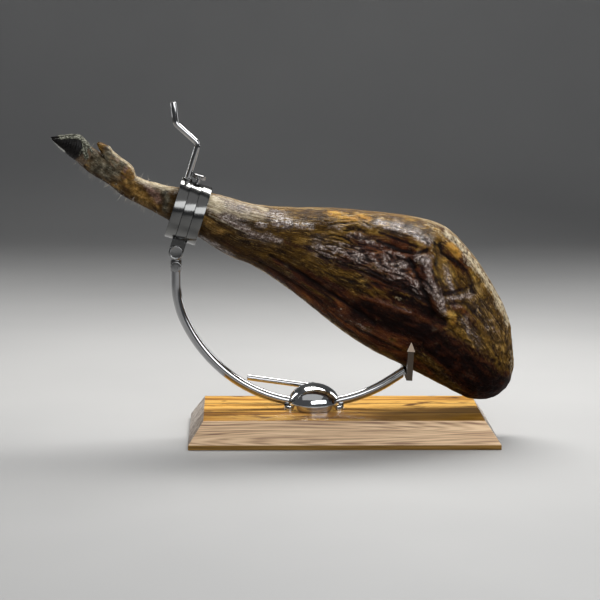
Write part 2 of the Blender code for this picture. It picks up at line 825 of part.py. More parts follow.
def ham_places():
    """Ring places: closer together at both ends, where the outline turns."""
    first = HAM_SHAPE["coronet"][0]
    last = HAM_SHAPE["tip"][0]
    even = np.linspace(0, 1, HAM_RINGS)
    eased = even - 0.085 * np.sin(2 * np.pi * even) / np.pi
    return first + (last - first) * eased


def ham_rings():
    table = np.array(list(HAM_SHAPE.values()), float)
    rings = []
    for place in ham_places():
        top, bottom, front, back = (along(table[:, 0], table[:, k], place) for k in range(1, 5))
        middle = (top + bottom) / 2
        half = (top - bottom) / 2
        taper = HAM_LOW_TAPER * min(1.0, max(0.0, (place - 300) / 150))
        ring = []
        for k in range(HAM_POINTS):
            angle = 2 * math.pi * k / HAM_POINTS
            across = math.cos(angle)
            up = math.sin(angle)
            widen = 1 + taper * up
            height = middle + half * up
            if across < 0:
                side = -front * widen * abs(across) ** HAM_FRONT_SQUARE
                side -= relief_at(place, height) * abs(across) ** 0.5
            else:
                side = back * widen * across
            ring.append(ham_point(place, height, side))
        rings.append(ring)
    return rings


def small_rings(shape, side, shift, points=14):
    """Rings of a claw: place, top, bottom and half depth of each section."""
    rings = []
    for place, top, bottom, depth in shape:
        ring = []
        for k in range(points):
            angle = 2 * math.pi * k / points
            height = (top + bottom) / 2 + (top - bottom) / 2 * math.sin(angle)
            ring.append(ham_point(place + shift, height, side + depth * math.cos(angle)))
        rings.append(ring)
    return rings


def make_ham(parts, cutters, material):
    ham = add_object("ham", loft("ham", ham_rings()), parts, material)
    for number, (side, shift) in enumerate(CLAWS, 1):
        name = "claw_%d" % number
        mesh = loft(name, small_rings(CLAW_SHAPE, side, shift))
        boolean(ham, "UNION", add_object(name, mesh, cutters))
    for number, side in enumerate((-DEWCLAW_SIDE, DEWCLAW_SIDE), 1):
        name = "dewclaw_%d" % number
        mesh = loft(name, small_rings(DEWCLAW_SHAPE, side, 0, 12))
        boolean(ham, "UNION", add_object(name, mesh, cutters))
    smooth(ham, 60)
    return ham


def joint_places():
    """Each joint's place, with the joint that carries it."""
    arc_centre = Vector((ARC_X, 0, ARC_LOW_Z + ARC_RADIUS))
    return {
        "arc_slide": (cross_matrix(arc_centre), None),
        "head_tilt": (cross_matrix(pivot_point()), "arc_slide"),
        "crank_turn": (screw_matrix(CRANK_AXIAL), "head_tilt"),
        "brake_turn": (screw_matrix(0), "head_tilt"),
        "lever_turn": (cross_matrix((DOME_X, LEVER_AXIS_Y, LEVER_AXIS_Z)), None),
    }


def hang(child, empty, place):
    """Parent an object without moving it."""
    child.parent = empty
    child.matrix_parent_inverse = place.inverted()


def make_joints(carried, collection):
    """Empties on the joints' axes, which carry the pieces that move with them."""
    empties = {}
    for name, (place, parent) in joint_places().items():
        empty = add_object(name, None, collection, None, place)
        empty.empty_display_size = 20 * MM
        if parent is not None:
            hang(empty, empties[parent], joint_places()[parent][0])
        for piece in carried[name]:
            hang(piece, empty, place)
        empties[name] = empty


def main():
    clear_scene()
    parts = new_collection("ham_on_stand")
    cutters = new_collection("cutters")
    wood = new_material("board_wood", (0.55, 0.30, 0.10), 0, 0.35)
    steel = new_material("polished_steel", (0.62, 0.62, 0.63), 1, 0.14)
    machined = new_material("machined_steel", (0.60, 0.60, 0.61), 1, 0.25)
    meat = new_material("cured_meat", (0.12, 0.05, 0.02), 0, 0.5)
    make_board(parts, wood)
    make_dome(parts, cutters, steel)
    carried = {
        "arc_slide": [
            make_arc(parts, cutters, steel),
            make_fork(parts, cutters, steel),
            make_eye(parts, cutters, machined),
            make_set_screw(parts, cutters, machined),
        ],
        "head_tilt": [
            make_sleeve(parts, cutters, machined),
            make_retaining_band(parts, machined),
            make_housing(parts, cutters, machined),
            make_pin(parts, machined),
            make_ham(parts, cutters, meat),
        ],
        "crank_turn": [make_crank(parts, steel)],
        "brake_turn": [make_brake_screw(parts, cutters, machined)],
        "lever_turn": [make_lever(parts, cutters, steel)],
    }
    make_joints(carried, parts)


main()
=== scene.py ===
"""The looks of a cured ham in its stand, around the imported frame. Metres, +Z up."""
import math

import bmesh
import bpy
import numpy as np
from mathutils import Matrix, Vector


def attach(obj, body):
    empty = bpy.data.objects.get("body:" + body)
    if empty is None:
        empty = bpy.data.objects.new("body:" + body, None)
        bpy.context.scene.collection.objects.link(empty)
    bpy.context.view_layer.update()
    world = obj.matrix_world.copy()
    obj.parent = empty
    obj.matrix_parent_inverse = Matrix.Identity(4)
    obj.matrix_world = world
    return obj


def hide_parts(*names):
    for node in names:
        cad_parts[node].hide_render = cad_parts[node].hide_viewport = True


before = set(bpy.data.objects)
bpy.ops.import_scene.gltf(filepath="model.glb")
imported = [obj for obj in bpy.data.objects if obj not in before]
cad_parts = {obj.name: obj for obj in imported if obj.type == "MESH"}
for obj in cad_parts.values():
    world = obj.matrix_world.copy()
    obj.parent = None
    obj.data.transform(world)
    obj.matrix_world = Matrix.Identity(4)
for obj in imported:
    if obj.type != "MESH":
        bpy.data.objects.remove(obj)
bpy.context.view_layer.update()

MM = 0.001

# Camera
CAMERA_PLACE = (-0.175, -3.544, 0.75)
CAMERA_RIGHT = (0.999564, -0.029122, 0.004834)
CAMERA_UP = (-0.000495, 0.147197, 0.989107)
CAMERA_LENS = 131.6

# Board
BOARD_LENGTH = 500 * MM
BOARD_DEPTH = 258 * MM
BOARD_HEIGHT = 43 * MM
BOARD_EDGE = 8 * MM
STAVE_JOINT = -0.039
BOARD_BEVEL_RUN = 24 * MM
BOARD_ROUND = 0.8 * MM

# Dome with the shoe that the arc slides in
DOME_X = -45.5 * MM
DOME_RADIUS = 42.8 * MM
DOME_WALL = 8 * MM
DOME_CROWN = 33.3 * MM
DOME_STEPS = 128
DOME_RIM = 0.4 * MM
SHOE_LENGTH = 98 * MM
SHOE_WIDTH = 40 * MM
SHOE_HEIGHT = 6.5 * MM
SHOE_CORNER = 9 * MM
SHOE_EDGE = 1.2 * MM
SHOE_EDGE_STEP = 0.35 * MM

# Arc: circular stretches as (degrees turned, radius) from its lowest point
ARC_X = -46.0 * MM
ARC_LOW_Z = 51.4 * MM
ARC_RADIUS = 228 * MM
ARC_ROD = 7.9 * MM
ARC_RIGHT_BENDS = ((33.5, 228 * MM),)
ARC_LEFT_BENDS = ((35, 228 * MM), (30, 243 * MM), (25, 146 * MM))
ARC_RIGHT_RUN = 34 * MM
ARC_TOP_Z = 270.0 * MM
ARC_STEP_DEG = 1.2
CHANNEL_GAP = 0.45 * MM
CHANNEL_HALF_DEG = 16
ROUND_BAR_SIDES = 48

# Cradle fork on the arc's low end
FORK_X = 106.5 * MM
FORK_Z = 100.0 * MM
FORK_LEAN_DEG = 2.6
FORK_HALF_SPAN = 58 * MM
FORK_BAR_WIDTH = 9.6 * MM
FORK_BAR_THICK = 8 * MM
FORK_PRONG_HEIGHT = 47 * MM
FORK_POINT_WIDTH = 13.4 * MM
FORK_POINT_HEIGHT = 15 * MM
FORK_EDGE = 1.2 * MM

# Locking lever behind the dome
LEVER_AXIS_Y = 45.5 * MM
LEVER_AXIS_Z = 70.8 * MM
LEVER_RADIUS = 5 * MM
LEVER_LENGTH = 110.5 * MM
LEVER_RISE_DEG = 7.9
LEVER_HUB_RADIUS = 6.2 * MM
LEVER_HUB_LENGTH = 11 * MM
LEVER_STUD_RADIUS = 4 * MM
LEVER_STUD_LENGTH = 20 * MM
LEVER_STUD_INSET = 4 * MM
LEVER_BAR_START = 0.5 * MM
LEVER_HUB_EDGE = 0.8 * MM
LEVER_BAR_EDGE = 1.2 * MM

# Ring clamp: its axis drops towards the butt
RING_X = -251.0 * MM
RING_Z = 367.3 * MM
RING_TILT_DEG = 17.2
RING_RADIUS = 49.1 * MM
RING_BORE = 42.8 * MM
RING_TUBE = 45.6 * MM
RING_LENGTH = 51 * MM
RING_STEPS = 144
HOUSING_HALF = 8.5 * MM
RING_CHAMFER = 0.7 * MM
GAP = 0.3 * MM

# Lug under the housing, and the pivot that it turns on
PIVOT_DROP = 68.4 * MM
LUG_HALF_WIDTH = 11.7 * MM
LUG_HALF_DEPTH = 11 * MM
LUG_ROOT_LOW = 52 * MM
LUG_ROOT_HIGH = 47.2 * MM
LUG_TOP = 50.4 * MM
SLOT_HALF = 4.6 * MM
SLOT_CLEAR = 11.9 * MM
PIN_RADIUS = 4 * MM
PIN_HEAD_RADIUS = 11.8 * MM
PIN_HEAD_LENGTH = 4 * MM
PIN_NUT_RADIUS = 7 * MM
PIN_NUT_LENGTH = 4 * MM
PIN_EDGE = 0.4 * MM

# Eye that joins the arc to the pivot
EYE_RADIUS = 9.2 * MM
EYE_BOTTOM = 270.4 * MM
EYE_SHOULDER_DROP = 12.6 * MM
TONGUE_HALF_THICK = 4.2 * MM
TONGUE_HALF_WIDTH = 8.2 * MM
SET_SCREW_Z = 278.5 * MM
SET_SCREW_RADIUS = 8.4 * MM
SET_SCREW_HEAD = 3.5 * MM
SET_SCREW_SHANK = 3 * MM
SET_SCREW_SOCKET = 3.4 * MM
SET_SCREW_TIP = 3 * MM
SCREW_EDGE = 1 * MM

# Clamping crank, along and across the screw's axis from the band's surface
CRANK_AXIAL = -17 * MM
CRANK_RADIUS = 4.8 * MM
CRANK_RISE = 61.3 * MM
CRANK_OFFSET = 44.5 * MM
CRANK_KNEE = 81.5 * MM
CRANK_END_OFFSET = 58.0 * MM
CRANK_END = 113.5 * MM
CRANK_BEND = 12 * MM
BEND_STEPS = 14
CRANK_TIP_RADIUS = 35.6 * MM
BOSS_RADIUS = 8.6 * MM
BOSS_HEIGHT = 3 * MM
BOSS_DEPTH = 3 * MM
BOSS_EDGE = 1.2 * MM
CRANK_EDGE = 0.9 * MM

# Brake screw on the housing
BRAKE_HEAD_RADIUS = 11 * MM
BRAKE_HEAD_BASE = 6.7 * MM
BRAKE_HEAD_TOP = 14.3 * MM
BRAKE_NECK = 3.2 * MM
BRAKE_FLUTES = 26
BRAKE_FLUTE_DEPTH = 0.6 * MM

# Ham: distances in millimetres along an axis that drops from the hoof to the butt
HOOF_X = -473.2 * MM
HOOF_Z = 486.7 * MM
HAM_DROP_DEG = 28.0
HAM_RINGS = 440
HAM_NEAR_POINTS = 172
HAM_FAR_POINTS = 52
# place along the axis, top, bottom, half depth of the carved side, half depth of the rind
HAM_SHAPE = {
    "coronet": (40, 19, -9, 15, 15),
    "pastern": (78, 17, -19.5, 19, 19),
    "dewclaws": (122, 15, -23.2, 18, 18),
    "fetlock": (152, 10.5, -28.3, 19, 19),
    "shank": (200, 19.5, -27.6, 21, 21),
    "ring entry": (228, 29, -28.2, 24, 25),
    "ring exit": (278, 45.4, -29.5, 34, 34),
    "hock": (339, 60, -34.2, 42, 44),
    "calf": (384, 78, -29.6, 48, 52),
    "knee": (450, 112, -35, 57, 62),
    "lower thigh": (520, 142, -47.5, 62, 70),
    "thigh": (575, 163, -56.5, 65, 75),
    "hip": (628, 174.5, -61, 66, 77),
    "cradle": (690, 157.5, -58.6, 64, 75),
    "rump": (745, 128, -58.2, 58, 68),
    "aitch": (795, 92.5, -57.2, 48, 54),
    "butt": (827, 50, -45.5, 33, 37),
    "butt end": (842, 26, -30, 19, 21),
    "tip": (849, 3, -14, 7, 7),
}
HAM_LOW_TAPER = 0.2
HAM_FRONT_SQUARE = 0.84
# relief on the carved side: path, half width and height of each ridge or groove
RELIEF = {
    "aitchbone": (((606, 122), (690, 57)), 13, 7.5),
    "aitch hollow": (((684, 42), (702, 44)), 11, -9),
    "rump groove": (((636, 158), (712, 104)), 7, -6),
    "muscle roll": (((528, 132), (612, 147)), 12, 5),
    "roll groove": (((556, 108), (604, 118)), 7, -5),
    "long muscle": (((420, 42), (640, 84)), 16, 4),
    "shank tendon": (((300, 6), (430, 34)), 11, 3),
    "low sinew": (((520, -30), (660, -26)), 12, 3),
}
# finer relief on the same side, which only the looks have
FINE_RELIEF = {
    "aitchbone head": (((606, 116), (628, 116)), 9, 2.2),
    "aitchbone shaft": (((626, 108), (640, 96), (656, 82), (668, 70)), 6, 1.6),
    "aitchbone end": (((674, 68), (686, 56)), 8, 2.4),
    "aitchbone waist": (((640, 106), (652, 96)), 4, -1.8),
    "aitchbone lower edge": (((598, 104), (620, 88), (646, 68), (666, 50), (676, 44)), 4.5, -4.4),
    "aitchbone upper edge": (((634, 122), (652, 104), (674, 84)), 3.5, -1.3),
    "rump crease": (((632, 148), (640, 139), (664, 137), (690, 129), (714, 106)), 4, -3.6),
    "rump crease side": (((700, 124), (716, 112), (726, 96)), 3, -1.0),
    "roll edge": (((532, 128), (566, 136), (606, 138)), 4, 1.4),
    "roll crease": (((540, 106), (580, 111), (604, 119), (616, 131)), 3, -3.0),
    "roll crease high": (((536, 120), (570, 124), (598, 128)), 2.5, -1.8),
    "rim ledge": (((600, 160), (650, 154), (700, 138), (744, 112), (780, 88)), 5, 1.6),
    "rim step": (((604, 150), (618, 144), (622, 130)), 3, 1.8),
    "rim hollow": (((624, 146), (634, 132), (640, 120)), 4, -1.8),
    "fat pad": (((642, 152), (668, 146)), 6, 2.0),
    "lump one": (((658, 116), (672, 104), (682, 94)), 6, 2.6),
    "lump two": (((686, 80), (700, 88), (712, 98)), 5, 2.6),
    "lump three": (((694, 72), (714, 76)), 4, 1.6),
    "lump groove": (((676, 84), (692, 98), (704, 106)), 3, -2.4),
    "lump groove low": (((690, 72), (712, 84)), 2.5, -1.6),
    "golden lump": (((696, 60), (712, 48)), 8, 2.6),
    "rump fold one": (((692, 64), (720, 66), (748, 56), (772, 42)), 3.5, -1.5),
    "rump fold two": (((716, 84), (748, 74), (780, 56)), 4, -1.8),
    "rump fold three": (((712, 34), (740, 30), (768, 32)), 3, -1.8),
    "rump ridge": (((724, 60), (752, 48), (772, 34)), 5, 1.8),
    "shank ledge": (((270, 12), (330, 14), (362, 15), (402, 25)), 3.5, -1.6),
    "shank band": (((272, 19), (330, 20), (366, 21), (398, 30)), 5, 1.4),
    "knee lump one": (((358, 38), (374, 42)), 5, 1.4),
    "knee lump two": (((382, 52), (400, 62)), 6, 1.8),
    "knee lump three": (((414, 66), (434, 74)), 5, 1.6),
    "knee lump four": (((466, 88), (480, 96)), 5, 1.4),
    "low groove": (((400, 2), (440, 2), (520, -6), (600, -14)), 4, -2.2),
    "low groove two": (((390, -16), (440, -18), (520, -28)), 3, -1.4),
    "low ridge": (((390, -8), (440, -9), (520, -16)), 4, 1.4),
    "low fold": (((560, -36), (660, -36)), 3, -1.6),
    "olive ledge": (((682, -24), (722, -34), (770, -47)), 5, 2.0),
    "butt fold": (((770, 16), (806, 22), (832, 22)), 5, -2.6),
    "streak ridge one": (((470, 12), (520, 20), (570, 32), (604, 46)), 4, 1.2),
    "streak ridge two": (((560, 14), (600, 22), (640, 28)), 3, 1.2),
}
# the hoof's two claws: how far beside the axis and how far along; then the same columns
# as the ham's table, with one half depth
CLAWS = ((-11.3, 4.0), (11.3, 0.0))
CLAW_SHAPE = (
    (0, 0.8, -0.6, 1.0),
    (8, 6.6, -3.6, 4.5),
    (18, 13.6, -7.0, 7.5),
    (30, 21.4, -9.6, 9.8),
    (41, 25.4, -11.4, 10.8),
    (52, 22.6, -13.0, 11.0),
    (62, 16.5, -13.5, 10.0),
    (70, 8.0, -9.0, 6.0),
)
# the mossy edge of a claw, from its tip over the top and down to the coronet
MOSS_PATH = ((12, 11), (28, 21), (42, 25), (50, 19), (56, 9), (62, 2))
# the two dewclaws, one on each side
DEWCLAW_SIDE = 9.0
DEWCLAW_SHAPE = (
    (71, 29.6, 27.6, 1.2),
    (78, 31.6, 21.5, 4.4),
    (88, 32.4, 16.0, 6.8),
    (100, 28.2, 9.0, 8.6),
    (112, 25.4, 4.0, 9.4),
    (126, 23.6, 1.0, 9.8),
    (138, 20.5, -2.0, 9.4),
    (146, 14.5, -5.0, 7.8),
    (152, 6.0, -6.0, 4.0),
)
# stray hairs of the foot, in millimetres
BRISTLES = 150
BRISTLE_STEPS = 5
BRISTLE_SIDES = 3
BRISTLE_RADIUS = 0.36
BRISTLE_TAPER = 0.75
BRISTLE_LENGTHS = (3, 10)
BRISTLE_ROOT = 0.6
BRISTLE_LOW_SHARE = 0.72
BRISTLE_REACH = (56, 214)
BRISTLE_PLACES = (62, 84, 108, 122, 128, 140, 152, 160, 172, 200)
# colour fields on the carved side: path, half width, strength
GOLD = {
    "shank": (((272, 4), (330, 2), (400, 8)), 15, 0.9),
    "upper shank": (((330, 32), (400, 46)), 20, 0.75),
    "knee": (((404, 52), (440, 66), (476, 84)), 30, 0.9),
    "knee low": (((402, 22), (450, 24), (510, 28), (544, 32)), 21, 0.95),
    "top edge": (((400, 74), (460, 102), (520, 128), (580, 152), (612, 160)), 22, 0.95),
    "low line": (((398, -9), (440, -9)), 5, 0.8),
    "low streak": (((470, -12), (520, -14)), 5, 0.7),
    "thigh streak": (((540, 26), (580, 32), (610, 44)), 9, 0.75),
    "thigh": (((520, 52), (560, 60)), 16, 0.35),
    "rump hollow": (((628, 146), (650, 124), (690, 96)), 18, 0.8),
    "behind aitchbone": (((640, 118), (664, 92), (692, 70)), 9, 0.75),
    "rump": (((712, 110), (750, 92), (790, 66), (822, 34)), 36, 1.0),
    "rump low": (((700, 54), (740, 40), (800, 34)), 20, 0.95),
    "olive ledge": (((684, -24), (722, -34), (772, -48)), 9, 1.0),
    "belly line": (((440, -34), (520, -46), (600, -56), (700, -58), (780, -56)), 6, 0.8),
}
ASH = {
    "pastern": (((62, 12), (90, 4), (122, 0)), 11, 1.0),
    "pastern front": (((88, -8), (112, -10)), 7, 0.8),
    "fetlock": (((128, 6), (138, 8)), 5, 0.6),
    "shank end": (((198, 12), (212, 2), (218, -12)), 8, 1.0),
    "shank top": (((150, 22), (184, 20)), 5, 0.7),
    "heel line": (((104, -17), (140, -25)), 3, 0.5),
}
ROSE = {
    "shank": (((172, 8), (190, 2), (202, -6)), 8, 1.0),
    "fetlock": (((126, 12), (136, 2)), 6, 0.75),
    "pastern": (((96, -2), (112, 2)), 5, 0.5),
}
GILT = {
    "shank low": (((142, -2), (156, -8), (186, -20)), 9, 1.0),
    "fetlock": (((136, 14), (142, 4)), 6, 0.8),
    "fetlock low": (((116, -14), (136, -16)), 7, 0.8),
    "pastern spot": (((68, -4), (76, -10)), 6, 0.9),
    "shank patch": (((192, -10), (206, -16)), 6, 0.7),
    "ring exit": (((266, 4), (292, 1), (316, -2)), 7, 0.75),
}
ORANGE = {
    "rump fat": (((644, 154), (654, 150), (668, 145)), 7, 1.1),
    "top fat": (((454, 105), (480, 116), (512, 130)), 7, 1.05),
    "golden lump": (((694, 62), (710, 50)), 8, 0.75),
    "streak one": (((602, 47), (626, 52)), 3, 0.6),
    "blob": (((606, 40), (624, 44)), 5, 0.5),
    "streak two": (((540, 16), (600, 26), (640, 34)), 3, 0.4),
    "rump vein": (((690, 126), (704, 116)), 4, 0.6),
}
CREAM = {
    "rim": (((640, 170), (690, 151), (748, 122), (796, 92)), 11, 0.9),
    "rim start": (((596, 166), (640, 166)), 6, 0.5),
    "rim low": (((612, 158), (650, 160), (690, 146)), 6, 0.35),
    "rim edge": (((612, 156), (620, 146), (624, 132)), 3, 0.45),
    "shank top": (((272, 45), (320, 54), (360, 66)), 6, 0.75),
    "shank white": (((266, 34), (290, 32)), 15, 0.9),
    "shank fade": (((290, 34), (330, 40), (356, 50)), 12, 0.6),
    "shank border": (((280, 14), (330, 16), (350, 18)), 3.5, 0.4),
    "pale blob": (((610, 42), (618, 41)), 3.4, 0.6),
    "pale speck": (((541, -22), (547, -19)), 1.3, 0.45),
    "thigh streak": (((572, 19), (600, 24)), 2.5, 0.25),
    "fat edge": (((452, 110), (480, 121), (520, 140), (560, 156)), 3, 0.4),
    "butt": (((826, 46), (846, 8)), 5, 0.5),
}
# pale bloom film on the carved side, partly painted sheen: wrinkles, roll, aitchbone and lumps are
# painted paler where the light catches them
BLOOM_AND_SHEEN = {
    "shank": (((270, 24), (330, 20), (366, 22), (400, 30)), 8, 0.75),
    "shank face": (((266, 30), (300, 34), (330, 40)), 16, 1.0),
    "shank high": (((300, 44), (350, 54), (390, 66)), 8, 0.6),
    "knee lump one": (((358, 38), (374, 42)), 5, 0.8),
    "knee lump two": (((384, 52), (402, 63)), 7, 0.95),
    "knee lump three": (((414, 66), (434, 74)), 6, 0.9),
    "knee lump four": (((466, 88), (482, 97)), 6, 0.75),
    "wrinkles": (((462, 56), (520, 72), (600, 84), (644, 76)), 17, 1.0),
    "wrinkle blob": (((504, 64), (528, 72)), 8, 1.1),
    "upper wrinkles": (((500, 92), (540, 102), (600, 102)), 9, 0.95),
    "roll": (((532, 134), (572, 141), (614, 146)), 9, 1.1),
    "roll end": (((590, 142), (614, 142)), 9, 1.1),
    "top mottle": (((520, 118), (548, 128)), 9, 0.5),
    "aitchbone head": (((606, 116), (628, 116)), 12, 1.1),
    "aitchbone shaft": (((628, 108), (648, 90), (668, 72)), 10, 0.85),
    "aitchbone end": (((660, 80), (674, 68), (686, 56)), 10, 1.1),
    "lump one": (((656, 117), (672, 104), (684, 92)), 8, 1.0),
    "lump two": (((684, 80), (700, 89), (713, 99)), 7, 1.05),
    "lump low": (((694, 72), (716, 76)), 5, 0.6),
    "rump grain": (((724, 60), (746, 44), (772, 34)), 8, 0.85),
    "rump speckle": (((720, 96), (760, 80), (790, 56)), 22, 0.45),
    "grey patch": (((704, 120), (730, 110)), 6, 0.5),
    "streak": (((570, 18), (604, 25), (640, 29)), 3, 0.5),
    "low sinew": (((540, -27), (600, -31), (650, -29)), 4, 0.55),
    "under shank": (((286, -26), (345, -27)), 6, 0.6),
}
# dark lean, partly painted shade: most strokes lie on the lower side, on the butt and in hollows
DARK_AND_SHADE = {
    "belly": (((566, -6), (640, 6), (700, 10), (740, -6), (800, -4), (836, -10)), 19, 1.1),
    "belly high": (((600, 44), (650, 46), (680, 40)), 12, 0.8),
    "hollow": (((660, 46), (676, 42), (694, 42)), 8, 1.1),
    "thigh": (((470, 44), (520, 52), (600, 62), (650, 60)), 9, 0.75),
    "low band": (((430, 1), (490, -2), (560, -6)), 6, 0.8),
    "low band start": (((404, 3), (430, 1)), 5, 0.5),
    "butt": (((760, -8), (800, -16), (836, -20)), 26, 1.1),
    "low shank": (((276, -14), (330, -14), (400, -16), (470, -22)), 7, 0.55),
    "under olive": (((690, -6), (740, -18), (800, -36)), 10, 1.0),
    "rump edge": (((704, 28), (740, 22), (800, 24)), 6, 0.6),
    "pastern low": (((84, -6), (110, -10), (128, -14)), 7, 0.6),
    "pastern edge": (((64, -13), (110, -22), (150, -28)), 5, 0.6),
}
# strokes of painted highlight that pick out raised forms, and thin dark strokes of painted shade in the
# grooves between them
FORM_HIGHLIGHT = {
    "aitchbone head": (((608, 116), (626, 117)), 10, 0.95),
    "aitchbone shaft": (((628, 108), (646, 91), (666, 73)), 8.5, 0.75),
    "aitchbone end": (((672, 70), (685, 57)), 8, 0.9),
    "roll": (((540, 136), (572, 142), (598, 145)), 6, 0.7),
    "roll end": (((592, 142), (612, 144)), 8, 0.95),
    "lump one": (((658, 116), (672, 104), (684, 92)), 6, 0.85),
    "lump two": (((686, 81), (700, 89), (711, 98)), 5, 0.85),
}
# painted shade in the grooves between raised forms
GROOVE_SHADE = {
    "rump": (((634, 148), (642, 139), (666, 137), (690, 130), (714, 106)), 3.2, 0.8),
    "rump side": (((702, 122), (716, 112)), 3, 0.35),
    "roll": (((542, 107), (580, 111), (604, 119), (616, 131)), 3.0, 0.8),
    "roll high": (((540, 121), (598, 127)), 2.5, 0.7),
    "aitchbone": (((598, 104), (620, 88), (646, 68), (666, 50), (680, 44)), 4.4, 0.95),
    "aitchbone top": (((634, 122), (652, 104)), 2, 0.45),
    "rump fold": (((694, 64), (720, 66), (748, 57)), 2.0, 0.25),
    "lump": (((678, 84), (692, 98), (704, 106)), 2.4, 0.8),
    "dewclaw": (((84, 16), (104, 10), (124, 5)), 3, 0.9),
}

# colour attributes of the ham's skin and the fields in their three channels
TONES = {
    "tone_a": ("gold", "cream", "bloom_and_sheen"),
    "tone_b": ("dark_and_shade", "orange", "crease"),
    "tone_c": ("rind", "painted_relief_shading", "shade"),
    "tone_d": ("ash", "rose", "gilt"),
}

# Floor, which curves up into a wall behind the ham; metres
FLOOR_HALF_WIDTH = 7
FLOOR_FRONT = -6.0
FLOOR_CURVE_START = 2.6
FLOOR_CURVE_RADIUS = 1.2
FLOOR_CURVE_STEPS = 12
WALL_TOP = 5.0

# Lights: place, target, size, power and tint
LIGHTS = {
    "overhead": ((0.2, 0.72, 1.5), (0, 0, 0.28), (1.6, 0.5), 48, (1.0, 0.985, 0.96)),
    "window": ((0.8, -2.0, 1.29), (0, 0, 0.2), (3.2, 1.0), 38, (0.98, 0.99, 1.0)),
    "sky_panel": ((-0.3, -0.9, 2.1), (0, 0, 0.2), (3.4, 1.9), 9, (1, 1, 1)),
    "left_strip": ((-1.9, 1.5, 0.9), (0, 0, 0.3), (0.35, 1.4), 12, (1, 1, 1)),
    "right_strip": ((1.7, 1.6, 0.9), (0, 0, 0.3), (0.35, 1.4), 10, (1, 1, 1)),
}
SKY_TINT = (0.82, 0.84, 0.88, 1)
SKY_STRENGTH = 0.10

GRADIENTS = np.random.RandomState(11).normal(size=(256, 3))
GRADIENTS /= np.linalg.norm(GRADIENTS, axis=1)[:, None]


def noise(points, seed):
    """Gradient noise at an (n, 3) array, about -1 to 1."""
    cell = np.floor(points).astype(np.int64)
    part = points - cell
    fade = part ** 3 * (part * (part * 6 - 15) + 10)
    total = np.zeros(len(points))
    for corner in range(8):
        offset = np.array([(corner >> k) & 1 for k in range(3)])
        at = cell + offset
        mixed = at[:, 0] * 73856093 ^ at[:, 1] * 19349663 ^ at[:, 2] * 83492791 ^ seed * 97531
        mixed &= 0x7FFFFFFF
        mixed = (mixed ^ (mixed >> 13)) * 1274126177 & 0x7FFFFFFF
        gradient = GRADIENTS[(mixed ^ (mixed >> 16)) & 255]
        weight = np.prod(np.where(offset == 1, fade, 1 - fade), axis=1)
        total += weight * ((part - offset) * gradient).sum(1)
    return total * 1.7


def stacked(x, y, z):
    """Points of three arrays that spread to one shape, and that shape."""
    spread = np.broadcast_arrays(x, y, z)
    return np.stack([values.ravel() for values in spread], -1), spread[0].shape


def field_noise(x, y, z, seed, octaves=1):
    """Layers of noise, each half as strong and about twice as fine as the one before."""
    points, shape = stacked(x, y, z)
    layers = (0.5 ** k * noise(points * 2.03 ** k, seed + 17 * k) for k in range(octaves))
    return sum(layers).reshape(shape)


def billow(x, y, z, seed):
    """Rounded swellings with sharp creases between them, 0 to 1."""
    points, shape = stacked(x, y, z)
    total = np.abs(noise(points, seed)) + 0.5 * np.abs(noise(points * 2.1, seed + 31))
    return np.clip(total / 1.5 * 1.7, 0, 1).reshape(shape)


def smoothstep(low, high, value):
    """0 below low, 1 above high, and a smooth rise between them."""
    u = np.clip((value - low) / (high - low), 0, 1)
    return u * u * (3 - 2 * u)


def bell(distance, width):
    """1 at no distance, falling smoothly away over about the width."""
    return np.exp(-((distance / width) ** 2))


def slopes(x, y):
    """Monotone cubic slopes, so that a profile never overshoots its named sizes."""
    width = np.diff(x)
    rise = np.diff(y) / width
    slope = np.zeros(len(x))
    for k in range(1, len(x) - 1):
        if rise[k - 1] * rise[k] > 0:
            before = 2 * width[k] + width[k - 1]
            after = width[k] + 2 * width[k - 1]
            slope[k] = (before + after) / (before / rise[k - 1] + after / rise[k])
    slope[0] = rise[0]
    slope[-1] = rise[-1]
    return slope


def profile(x, y, at):
    """Values of a smooth profile through (x, y) at the given places."""
    slope = slopes(x, y)
    k = np.clip(np.searchsorted(x, at) - 1, 0, len(x) - 2)
    width = x[k + 1] - x[k]
    u = (at - x[k]) / width
    start = (1 + 2 * u) * (1 - u) ** 2 * y[k] + u * (1 - u) ** 2 * width * slope[k]
    finish = u * u * (3 - 2 * u) * y[k + 1] - u * u * (1 - u) * width * slope[k + 1]
    return start + finish


def measures(rows, place):
    """Columns of a shape table, after its first, at the given places along the axis."""
    table = np.array(rows, float)
    return [profile(table[:, 0], column, place) for column in table.T[1:]]


def ham_place(place, height, side):
    """World points from millimetres along, above and beside the ham's axis."""
    drop = math.radians(HAM_DROP_DEG)
    x = HOOF_X + (place * math.cos(drop) + height * math.sin(drop)) * MM
    z = HOOF_Z + (height * math.cos(drop) - place * math.sin(drop)) * MM
    return np.stack([x, np.asarray(side) * MM, z], axis=-1)


def path_distance(place, height, path):
    """Distance in millimetres from a path of (place, height) corners."""
    best = np.full(place.shape, 1e9)
    for (ax, ay), (bx, by) in zip(path, path[1:]):
        run = (bx - ax, by - ay)
        length = run[0] ** 2 + run[1] ** 2
        u = np.clip(((place - ax) * run[0] + (height - ay) * run[1]) / length, 0, 1)
        best = np.minimum(best, np.hypot(place - ax - run[0] * u, height - ay - run[1] * u))
    return best


def fields(place, height, strokes):
    """Strongest of the named soft strokes at each point."""
    total = np.zeros(place.shape)
    for path, half_width, strength in strokes.values():
        total = np.maximum(total, strength * bell(path_distance(place, height, path), half_width))
    return total


def relief(place, height, ridges):
    """Sum of the named ridges and grooves at each point, in millimetres."""
    total = np.zeros(place.shape)
    for path, half_width, rise in ridges.values():
        total += rise * bell(path_distance(place, height, path), half_width)
    return total


def mesh_from(name, verts, faces):
    """Mesh from lists of points and of their numbers in each face."""
    mesh = bpy.data.meshes.new(name)
    mesh.from_pydata(verts, [], faces)
    mesh.update()
    return mesh


